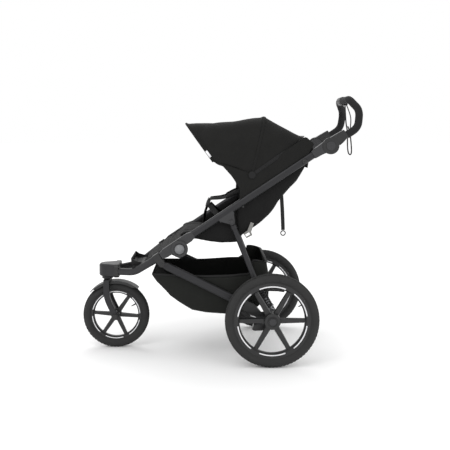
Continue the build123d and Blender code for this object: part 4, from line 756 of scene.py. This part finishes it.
class STROLLER_OT_seat(bpy.types.Operator):
    """Builds the sling, cushion, padded back and its sides, pleats, front cloth and leg rest"""
    bl_idname = "stroller.seat"
    bl_label = "Seat"

    def execute(self, context):
        finish, slot = "woven_polyester_seat", "seat_cloth"
        # side cloth and floor of the sling, hung from the rails
        floor = spread(side_points(SEAT_FLOOR, -0.1874), 20)
        rows = []
        for k, low in enumerate(floor):
            t = k / (len(floor) - 1)
            top = on_rail(46 + t * (294 - 46), 20 - 6 * t ** 3, -0.1874)
            low = low + Vector((0.012 * t ** 4, 0, 0.001 * t ** 4))
            rows.append(slung(top, low, 0.020))
        sling = sheet_of("seat_sling_cloth", rows, finish, SEAT_WALL, -1)
        wrinkle(sling, 0.06, 1.6 * MM, 1.7)
        kept_in(sling, (-0.144, -0.1878, 0.508), (0.086, 0.1878, 0.665))
        carried(sling, "main_frame", ("seat_sling",))

        # cushion: a crowned pad with a seam across its front third and one up each side
        outline = [(-174, 536), (-143, 540), (-98, 536), (-40, 524), (16, 518), (60, 520), (64, 555),
                   (40, 558), (-64, 556), (-120, 555), (-160, 553), (-174, 545)]
        cushion = plump(prism("seat_pad", outline, 0.178, finish), 5 * MM, 7 * MM)
        padded(cushion, [(lambda p: abs(p.x + 0.075) if p.z > 0.545 else 1, 4, 5),
                              (lambda p: abs(abs(p.y) - 0.105) if p.z > 0.545 else 1, 4, 4)])
        carried(cushion, "main_frame", ("seat_cushion",))

        # padded back panel with two sewn channels across, a headrest seam and one seam up each side
        outline = [*BACK_REAR[:-1], (366, 836), (347, 858), *BACK_FRONT[1:]]
        back = plump(prism("back_pad", outline, 0.178, finish), 6 * MM, 6 * MM)

        def up_back(p):
            return (p.x - 0.072) * 0.72 + (p.z - 0.546) * 0.69

        padded(back, [*((lambda p, at=at: abs(up_back(p) - at), 4, 4.5) for at in (0.13, 0.26, 0.36)),
                           (lambda p: abs(abs(p.y) - 0.1), 4, 3.5)])
        carried(back, "back", ("backrest",))

        # cloth sides of the back, which reach up to the rails
        rear = spread(side_points(BACK_REAR, -0.1862), 26)
        rows = []
        for k, low in enumerate(rear):
            t = k / (len(rear) - 1)
            top = on_rail(306 + t * (674 - 306), 17, -0.1862)
            rows.append(slung(top, low + Vector((0.004, 0, -0.003)), 0.028))
        shell = sheet_of("back_cloth", rows, finish, SEAT_WALL, 1)
        wrinkle(shell, 0.075, 3.0 * MM, 9.2)
        kept_in(shell, (0.070, -0.1872, 0.505), (0.402, 0.1872, 0.884))
        carried(shell, "back")

        # pleats that close the corner between the sling and the back
        for label, side in (("left", -0.1849), ("right", 0.1849)):
            rows = []
            for i in range(8):
                x = 62 + 36 * i / 7
                low = max(516.0, 522 + (x - 80) * 1.5)
                high = on_rail((x + 168 + 15 * RAIL.z) / RAIL.x, 15).z / MM
                rows.append([mm(x, side / MM, low + (high - low) * j / 12) for j in range(13)])
            pleat = sheet_of("seat_pleat_" + label, rows, finish, 1.0 * MM)
            carried(pleat, ("main_frame", "back", (0.072, 0, 0.58), (0.092, 0, 0.58)))

        # cloth from the seat's front edge down to the leg rest
        corners = [mm(-146, 0, 534.5), mm(-168, 0, 533), mm(-184, 0, 519), mm(-204, 0, 503)]
        rows = [[Vector((p.x, -0.184 + 0.368 * j / 24, p.z)) for j in range(25)]
                for p in spread(rounded(corners, 0.012), 12)]
        apron = sheet_of("seat_front_cloth", rows, finish, SEAT_WALL)
        carried(apron, ("main_frame", "front_frame", (-0.156, 0, 0.53), (-0.19, 0, 0.512)))

        # leg rest between the front tubes: its solid, drawn in a little and blown up again
        solid = frame["nodes"]["leg_rest"].data
        rest = piece("leg_pad", [v.co for v in solid.vertices], [tuple(p.vertices) for p in solid.polygons],
                     finish)
        tidy_normals(rest, CLOTH_WELD)
        middle = Vector((-0.25, 0, 0.45))
        for vertex in rest.data.vertices:
            vertex.co = middle + Vector([(vertex.co - middle)[i] * (0.985, 0.98, 0.98)[i] for i in range(3)])
        rest = plump(rest, 6 * MM, 5 * MM)
        padded(rest, [(lambda p: abs(p.x + 0.265), 4, 4), (lambda p: abs(p.x + 0.225), 4, 3)])
        carried(rest, "front_frame", ("leg_rest",))
        return {"FINISHED"}


# ---------------------------------------------------------------- harness
WEBBING_HALF = 12.5 * MM


class STROLLER_OT_harness(bpy.types.Operator):
    """Builds the webbing of the harness and its shoulder pads"""
    bl_idname = "stroller.harness"
    bl_label = "Harness"

    def execute(self, context):
        route = spread(rounded([mm(-66, 0, 566), mm(-58, 0, 630), mm(-50, 0, 651.5)], 0.03), 14)
        laps = [webbing("crotch_webbing", route, WEBBING_HALF, 1.6 * MM, (0.5, 1, 0))]
        shoulders, pads = [], []
        for sign in (-1, 1):
            corners = [mm(-39, sign * 30.6, 665.5), mm(5, sign * 110, 615), mm(60, sign * 150, 588)]
            route = spread(rounded(corners, 0.04), 18)
            laps.append(webbing(f"waist_{sign}", route, WEBBING_HALF, 1.2 * MM, (0.7, sign * -0.3, 0.6)))
            corners = [mm(-34.5, sign * 22, 692.2), mm(30, sign * 45, 697), mm(84, sign * 66, 722),
                       mm(150, sign * 78, 742), mm(226, sign * 80, 738)]
            route = spread(rounded(corners, 0.03), 40)
            shoulders.append(webbing(f"shoulder_{sign}", route, WEBBING_HALF, 1.6 * MM, (0, 1, -0.5 * sign)))
            corners = [corners[1] + mm(8, sign * 3, 6), corners[2] + mm(0, 0, 4),
                       corners[2] + mm(40, sign * 8, 14)]
            route = spread(rounded(corners, 0.02), 14)
            pads.append(ribbon(f"pad_{sign}", route, 22 * MM, 5.5 * MM, "woven_polyester_seat", 20,
                               wide=(0, 1, -0.3 * sign), corner=0.55))
        carried(joined(laps, "lap_webbing"), "main_frame", ("lap_straps",))
        follow = ("main_frame", "back", (-0.02, 0, 0.69), (0.16, 0, 0.74))
        carried(joined(shoulders, "shoulder_webbing"), follow, ("shoulder_straps",))
        pads = joined(pads, "shoulder_pads")
        padded(pads, [])
        carried(pads, follow)
        return {"FINISHED"}


# ---------------------------------------------------------------- basket
class STROLLER_OT_basket(bpy.types.Operator):
    """Builds the sagging basket and its bound rim"""
    bl_idname = "stroller.basket"
    bl_label = "Basket"

    def execute(self, context):
        wall = context.scene.stroller_sizes.cloth_thickness
        low = [(-292, 374), (-268, 337), (-211, 275), (-168, 243.5), (-115, 214), (-59, 202.5), (33, 198.5),
               (148, 207), (188, 242), (219, 300), (226, 341), (211, 428)]
        rim = [(-292, 375), (-262, 374.5), (-210, 373), (-165, 371), (-112, 369.5), (-59, 369), (33, 373),
               (118, 377.5), (136, 380), (139, 396), (144, 420), (149, 440)]
        plan_x, plan_y = (-300, -246, 60, 110, 235), (183, 188.6, 219.5, 205, 205)
        marks = np.linspace(0, len(low) - 1, 34)
        columns = [np.interp(marks, range(len(low)), column) for line in (low, rim) for column in zip(*line)]
        rows = []
        for low_x, low_z, rim_x, rim_z in zip(*columns):
            low_y, rim_y = (np.interp(x, plan_x, plan_y) - 0.5 for x in (low_x, rim_x))
            rows.append(slung(mm(rim_x, -rim_y, rim_z), mm(low_x, -low_y, low_z), 0.035, 44))
        bag = sheet_of("basket_bag", rows, "woven_polyester_basket", wall, -1)
        wrinkle(bag, 0.07, 2.4 * MM, 4.4, lambda p: min(1, max(0, (0.37 - p.z) / 0.03)))
        kept_in(bag, (-0.294, -0.2192, 0.1965), (0.228, 0.2192, 0.441))
        flatten = ("fold", (0, 0, 1), (0, 0, 0.372), 0.35)
        carried(bag, "chassis", ("basket",), flatten)

        # the bound rim, along both sides and over the back
        rims = [ribbon(f"rim_{k}", spread(line, 60), 5 * MM, 2 * MM, "polypropylene_webbing", 10, wide=wide)
                for k, (line, wide) in enumerate((([row[0] for row in rows[1:]], (0, 0.2, 1)),
                                                  ([row[-1] for row in rows[1:]], (0, 0.2, 1)),
                                                  (rows[-1], (1, 0, 0.2))))]
        rims = joined(rims, "basket_binding")
        kept_in(rims, (-0.294, -0.2192, 0.1965), (0.229, 0.2192, 0.442))
        carried(rims, "chassis", (), flatten)
        return {"FINISHED"}


# ---------------------------------------------------------------- wheels
REAR_SIZES = (200, 161, 47, 0, 146.75, 5.0)
WHEELS = (("front", "front_wheel", "front_tyre", (152.5, 114, 44, -5, 109.25, 3.8)),
          ("rear_left", "rear_wheel_left", "rear_tyre_left", REAR_SIZES),
          ("rear_right", "rear_wheel_right", "rear_tyre_right", REAR_SIZES))
TREAD_ROWS = ((-11, 2.6), (-4, 1.3), (4, 1.3), (11, 2.6))  # how far across and how far below the crown
SPOKE_GAP, BAND_STEPS, VALVE_ANGLE = 8, 14, 28


def ring_arcs(name, centre, y, radius, wide, spokes, finish):
    """Flat bands on a rim's side between its spokes."""
    verts, faces = [], []
    for first, last in zip(spokes, spokes[1:] + [spokes[0] + 360]):
        base = len(verts)
        for i in range(BAND_STEPS + 1):
            a = radians(first + SPOKE_GAP + (last - first - 2 * SPOKE_GAP) * i / BAND_STEPS)
            for r in (radius - wide / 2, radius + wide / 2):
                verts += [centre + Vector((r * cos(a), side, r * sin(a))) for side in y]
        for b in range(base, base + 4 * BAND_STEPS, 4):
            c = b + 4
            faces += [(b, b + 2, c + 2, c), (b + 1, c + 1, c + 3, b + 3), (b, c, c + 1, b + 1),
                      (b + 2, b + 3, c + 3, c + 2)]
        end = base + 4 * BAND_STEPS
        faces += [(base, base + 1, base + 3, base + 2), (end, end + 2, end + 3, end + 1)]
    item = piece(name, verts, faces, finish)
    tidy_normals(item)
    return item


def circle(centre, radius, y, count=96):
    """A closed line round a wheel's axis, whose last point is the first again."""
    return [centre + Vector((radius * cos(2 * pi * i / count), y, radius * sin(2 * pi * i / count)))
            for i in range(count + 1)]


class STROLLER_OT_wheels(bpy.types.Operator):
    """Adds tread, side-wall ribs, rim bands and valves to the three wheels"""
    bl_idname = "stroller.wheels"
    bl_label = "Wheels"

    def execute(self, context):
        pitch = context.scene.stroller_sizes.tread_pitch
        for label, body, tyre, (outer, rim, wide, turn, band_radius, band_width) in WHEELS:
            centre = JOINTS["front_wheel_spin" if label == "front" else "rear_wheel_spin_" + label[5:]]

            # blocks round the crown, held inside the tyre's own box
            rows = [circle(centre, (outer - drop) * MM, y * MM) for y, drop in TREAD_ROWS]
            tread = set_along("tread_" + label, rows, "Blocks", pitch, 0.6 * pitch, 4.6 * MM, 1.8 * MM,
                              "tyre_rubber")
            kept_in(tread, *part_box(tyre))
            carried(tread, body)

            # two moulded ribs on each side wall
            lines = [circle(centre, (rim + rise) * MM, side * share * wide * MM)[:-1]
                     for rise, share in ((8, 0.345), (18, 0.485)) for side in (1, -1)]
            ribs = [tube(f"rib_{k}", line, 1 * MM, "tyre_rubber", 6, True) for k, line in enumerate(lines)]
            carried(joined(ribs, "tyre_ribs_" + label), body)

            # reflective bands on both faces of the rim
            face = 0.62 * wide / 2 - 0.2
            spokes = [turn + 60 * k for k in range(6)]
            bands = [ring_arcs(f"band_{side}", centre, (side * face * MM, side * (face + 0.5) * MM),
                               band_radius * MM, band_width * MM, spokes, "retroreflective_film")
                     for side in (-1, 1)]
            carried(joined(bands, "rim_bands_" + label), body)

            # valve that points from the rim to the hub
            way = -heading(VALVE_ANGLE)
            foot = centre - way * (rim - 12) * MM
            stem = tube("stem", [foot - way * 6 * MM, foot + way * 12 * MM], 3.4 * MM, "tyre_rubber", 12)
            cap = tube("cap", [foot + way * at * MM for at in (12, 13, 24)], 2.6 * MM, "tyre_rubber", 12)
            carried(joined([stem, cap], "valve_" + label), body)
        return {"FINISHED"}


# ---------------------------------------------------------------- cords
class STROLLER_OT_cords(bpy.types.Operator):
    """Builds the brake cable, the wrist strap and the strap that hangs from the back"""
    bl_idname = "stroller.cords"
    bl_label = "Cords"

    def execute(self, context):
        route = [mm(590, 8.4, 1119), mm(588, -60, 1090), mm(586, -130, 1046), mm(564, -180, 967),
                 mm(522, -201, 938)]
        cable = nurbs("brake_cable_outer", route, 2.5 * MM)
        cable.data.materials.append(MATERIALS["moulded_abs"])
        carried(cable, "handlebar", ("brake_cable",))

        route = [mm(582, 0, 1119.3), mm(586, 0, 1040), mm(595, 0, 1000), mm(596, 0, 900), mm(612, 0, 886),
                 mm(616, 0, 912), mm(606, 0, 1000), mm(596, 0, 1020)]
        loop = nurbs("wrist_loop", route, 3 * MM)
        loop.data.materials.append(MATERIALS["polypropylene_webbing"])
        carried(loop, "handlebar", ("wrist_strap",))

        route = [mm(275.5, -165, 716.5), mm(280.7, -165, 652.9), mm(283.4, -165, 564.7)]
        path = spline_points(route)
        strap = webbing("back_strap", path, 8.5 * MM, 0.9 * MM, (1, 0.2, 0))
        hoop = circle(mm(283.5, 0, 551.2), 10 * MM, -0.165, 40)[:-1]
        hoop = tube("strap_ring", hoop, 2.4 * MM, "moulded_abs", 10, True)
        carried(hoop, "back", ("recline_ring",))
        carried(strap, "back", ("recline_strap",))
        return {"FINISHED"}


# ---------------------------------------------------------------- small parts
DOME_PROFILE = [(0.34, 0.62), (0.40, 0.96), (0.62, 0.92), (0.86, 0.66), (0.98, 0.30), (1.0, 0.0)]


def dome(name, centre, sign, radius, height, finish, sides=28):
    """A round bolt head or knob that stands out sideways, with a driver recess in its middle."""
    verts = [centre + Vector((0, sign * height * DOME_PROFILE[0][1], 0))]
    for share, rise in DOME_PROFILE:
        verts += [centre + heading(360 * i / sides) * radius * share + Vector((0, sign * height * rise, 0))
                  for i in range(sides)]
    faces = [(0, 1 + i, 1 + (i + 1) % sides) for i in range(sides)]
    faces += [(low + i, low + sides + i, low + sides + (i + 1) % sides, low + (i + 1) % sides)
              for low in range(1, 1 + (len(DOME_PROFILE) - 1) * sides, sides) for i in range(sides)]
    faces.append(tuple(range(len(verts) - sides, len(verts))))
    item = piece(name, verts, faces, finish)
    tidy_normals(item)
    return item


def coil(name, top, eye):
    """A shock absorber's spring, whose end turns lie closer than the rest."""
    way = (eye - top).normalized()
    side = way.orthogonal().normalized()
    up = way.cross(side)
    turns, steps, start, length, radius = 8, 20, 40 * MM, 78 * MM, 14 * MM
    points = []
    for i in range(turns * steps + 1):
        a = 2 * pi * i / steps
        grow = min(1, max(0, i / (turns * steps) * 1.12 - 0.06))
        points.append(top + way * (start + length * grow) + (side * cos(a) + up * sin(a)) * radius)
    return tube(name, points, 2.2 * MM, "powder_coated_wire", 8)


class STROLLER_OT_hardware(bpy.types.Operator):
    """Adds coil springs, bolt heads, knobs, rivets and the faces of the fold caps"""
    bl_idname = "stroller.hardware"
    bl_label = "Hardware"

    def execute(self, context):
        # coil springs of the two shock absorbers, carried by the strut
        springs = joined([coil(f"coil_{side}", mm(160, side * 238, 350), mm(231, side * 240, 226))
                          for side in (-1, 1)], "coil_springs")
        carried(springs, "strut", ("shock_springs",),
                ("suspension", (71, 0, -124), (0.179, 0, 0.317), 0.82))

        # round heads on the rails: the struts' bolts, knobs under the handle hubs, and rivets
        for name, spot, out, radius, tall in (("strut_bolts", JOINTS["strut_fold"], 211.9, 8.5, 4.0),
                                              ("rail_knobs", mm(370, 0, 866), 212.2, 12.5, 6.0),
                                              ("chassis_rivets", mm(106, 0, 672), 212.2, 4.5, 1.6)):
            heads = [dome(f"{name}_{side}", Vector((spot.x, side * out * MM, spot.z)), side, radius * MM,
                          tall * MM, "moulded_abs") for side in (-1, 1)]
            carried(joined(heads, name), "main_frame")

        # satin faces of the caps over the fold hinges
        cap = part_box("fold_discs")[1][1]
        ends = [[Vector((FOLD.x, side * (cap + rise * MM), FOLD.z)) for rise in (-0.3, 0.4)]
                for side in (-1, 1)]
        faces = [tube(f"disc_{k}", pair, 20.5 * MM, "satin_polycarbonate", 48) for k, pair in enumerate(ends)]
        carried(joined(faces, "hinge_disc_faces"), "front_frame")
        return {"FINISHED"}


# ---------------------------------------------------------------- stage
class STROLLER_OT_stage(bpy.types.Operator):
    """Sets the floor, the lights, the world and the camera"""
    bl_idname = "stroller.stage"
    bl_label = "Stage"

    def execute(self, context):
        scene = context.scene
        floor = linked("floor", bpy.data.meshes.new("floor"))
        floor.data.from_pydata([(-60, -40, 0), (60, -40, 0), (60, 90, 0), (-60, 90, 0)], [], [(0, 1, 2, 3)])
        paper = bpy.data.materials.new("matt_studio_paper")
        paper.use_nodes = True
        tree = paper.node_tree
        tree.nodes.clear()
        diffuse = add(tree, "ShaderNodeBsdfDiffuse", {"Color": linear("#fafafa")})
        add(tree, "ShaderNodeOutputMaterial", {}, {"Surface": diffuse.outputs[0]})
        floor.data.materials.append(paper)

        world = bpy.data.worlds.new("studio")
        scene.world = world
        world.use_nodes = True
        tree = world.node_tree
        tree.nodes.clear()
        path = add(tree, "ShaderNodeLightPath")
        seen = add(tree, "ShaderNodeMath", {},
                   {0: path.outputs["Is Camera Ray"], 1: path.outputs["Is Glossy Ray"]}, operation="MAXIMUM")
        strength = add(tree, "ShaderNodeMapRange", {"To Min": 1.08, "To Max": 1.0},
                       {"Value": seen.outputs[0]})
        sky = add(tree, "ShaderNodeBackground", {"Color": (1, 1, 1, 1)}, {"Strength": strength.outputs[0]})
        add(tree, "ShaderNodeOutputWorld", {}, {"Surface": sky.outputs[0]})

        for name, place, size, power in (("key", (-1.6, -2.6, 3.2), 2.0, 26),
                                         ("fill", (2.4, -2.0, 2.2), 2.4, 8),
                                         ("rim", (-0.8, 2.4, 3.0), 2.4, 26)):
            lamp = linked(name, bpy.data.lights.new(name, "AREA"))
            lamp.data.energy, lamp.data.size = power, size
            lamp.location = place
            lamp.rotation_euler = (Vector((0, 0, 0.5)) - Vector(place)).to_track_quat("-Z", "Y").to_euler()

        camera = linked("camera", bpy.data.cameras.new("camera"))
        camera.data.lens, camera.data.sensor_width, camera.data.shift_y = 55.55, 36.0, -0.08
        camera.data.clip_end = 200
        yaw, pitch = radians(1.441), radians(4.343)
        ahead = Vector((sin(yaw) * cos(pitch), cos(yaw) * cos(pitch), -sin(pitch)))
        camera.location = (-0.0469, -3.1806, 0.9746)
        camera.rotation_euler = ahead.to_track_quat("-Z", "Y").to_euler()
        scene.camera = camera
        scene.view_settings.view_transform = "Standard"
        return {"FINISHED"}


class STROLLER_PT_panel(bpy.types.Panel):
    """Shows the colours, the sizes and a button for each group of pieces"""
    bl_idname = "STROLLER_PT_panel"
    bl_label = "Stroller"
    bl_space_type = "VIEW_3D"
    bl_region_type = "UI"
    bl_category = "Stroller"

    def draw(self, context):
        for group in (context.scene.stroller_colours, context.scene.stroller_sizes):
            for name in group.__annotations__:
                self.layout.prop(group, name)
        for operator in OPERATORS:
            self.layout.operator(operator.bl_idname)


OPERATORS = (STROLLER_OT_stage, STROLLER_OT_cords, STROLLER_OT_canopy, STROLLER_OT_seat, STROLLER_OT_harness,
             STROLLER_OT_basket, STROLLER_OT_wheels, STROLLER_OT_hardware)
CLASSES = (StrollerColours, StrollerSizes, *OPERATORS, STROLLER_PT_panel)


def register():
    for kind in CLASSES:
        bpy.utils.register_class(kind)
    bpy.types.Scene.stroller_colours = bpy.props.PointerProperty(type=StrollerColours)
    bpy.types.Scene.stroller_sizes = bpy.props.PointerProperty(type=StrollerSizes)


def unregister():
    del bpy.types.Scene.stroller_sizes
    del bpy.types.Scene.stroller_colours
    for kind in reversed(CLASSES):
        bpy.utils.unregister_class(kind)


def main():
    register()
    make_materials()
    dress_frame()
    scatter_tree("Stitches", "peg")
    scatter_tree("Blocks", "block")
    for operator in OPERATORS:
        group, name = operator.bl_idname.split(".")
        getattr(getattr(bpy.ops, group), name)()


if __name__ == "__main__":
    main()
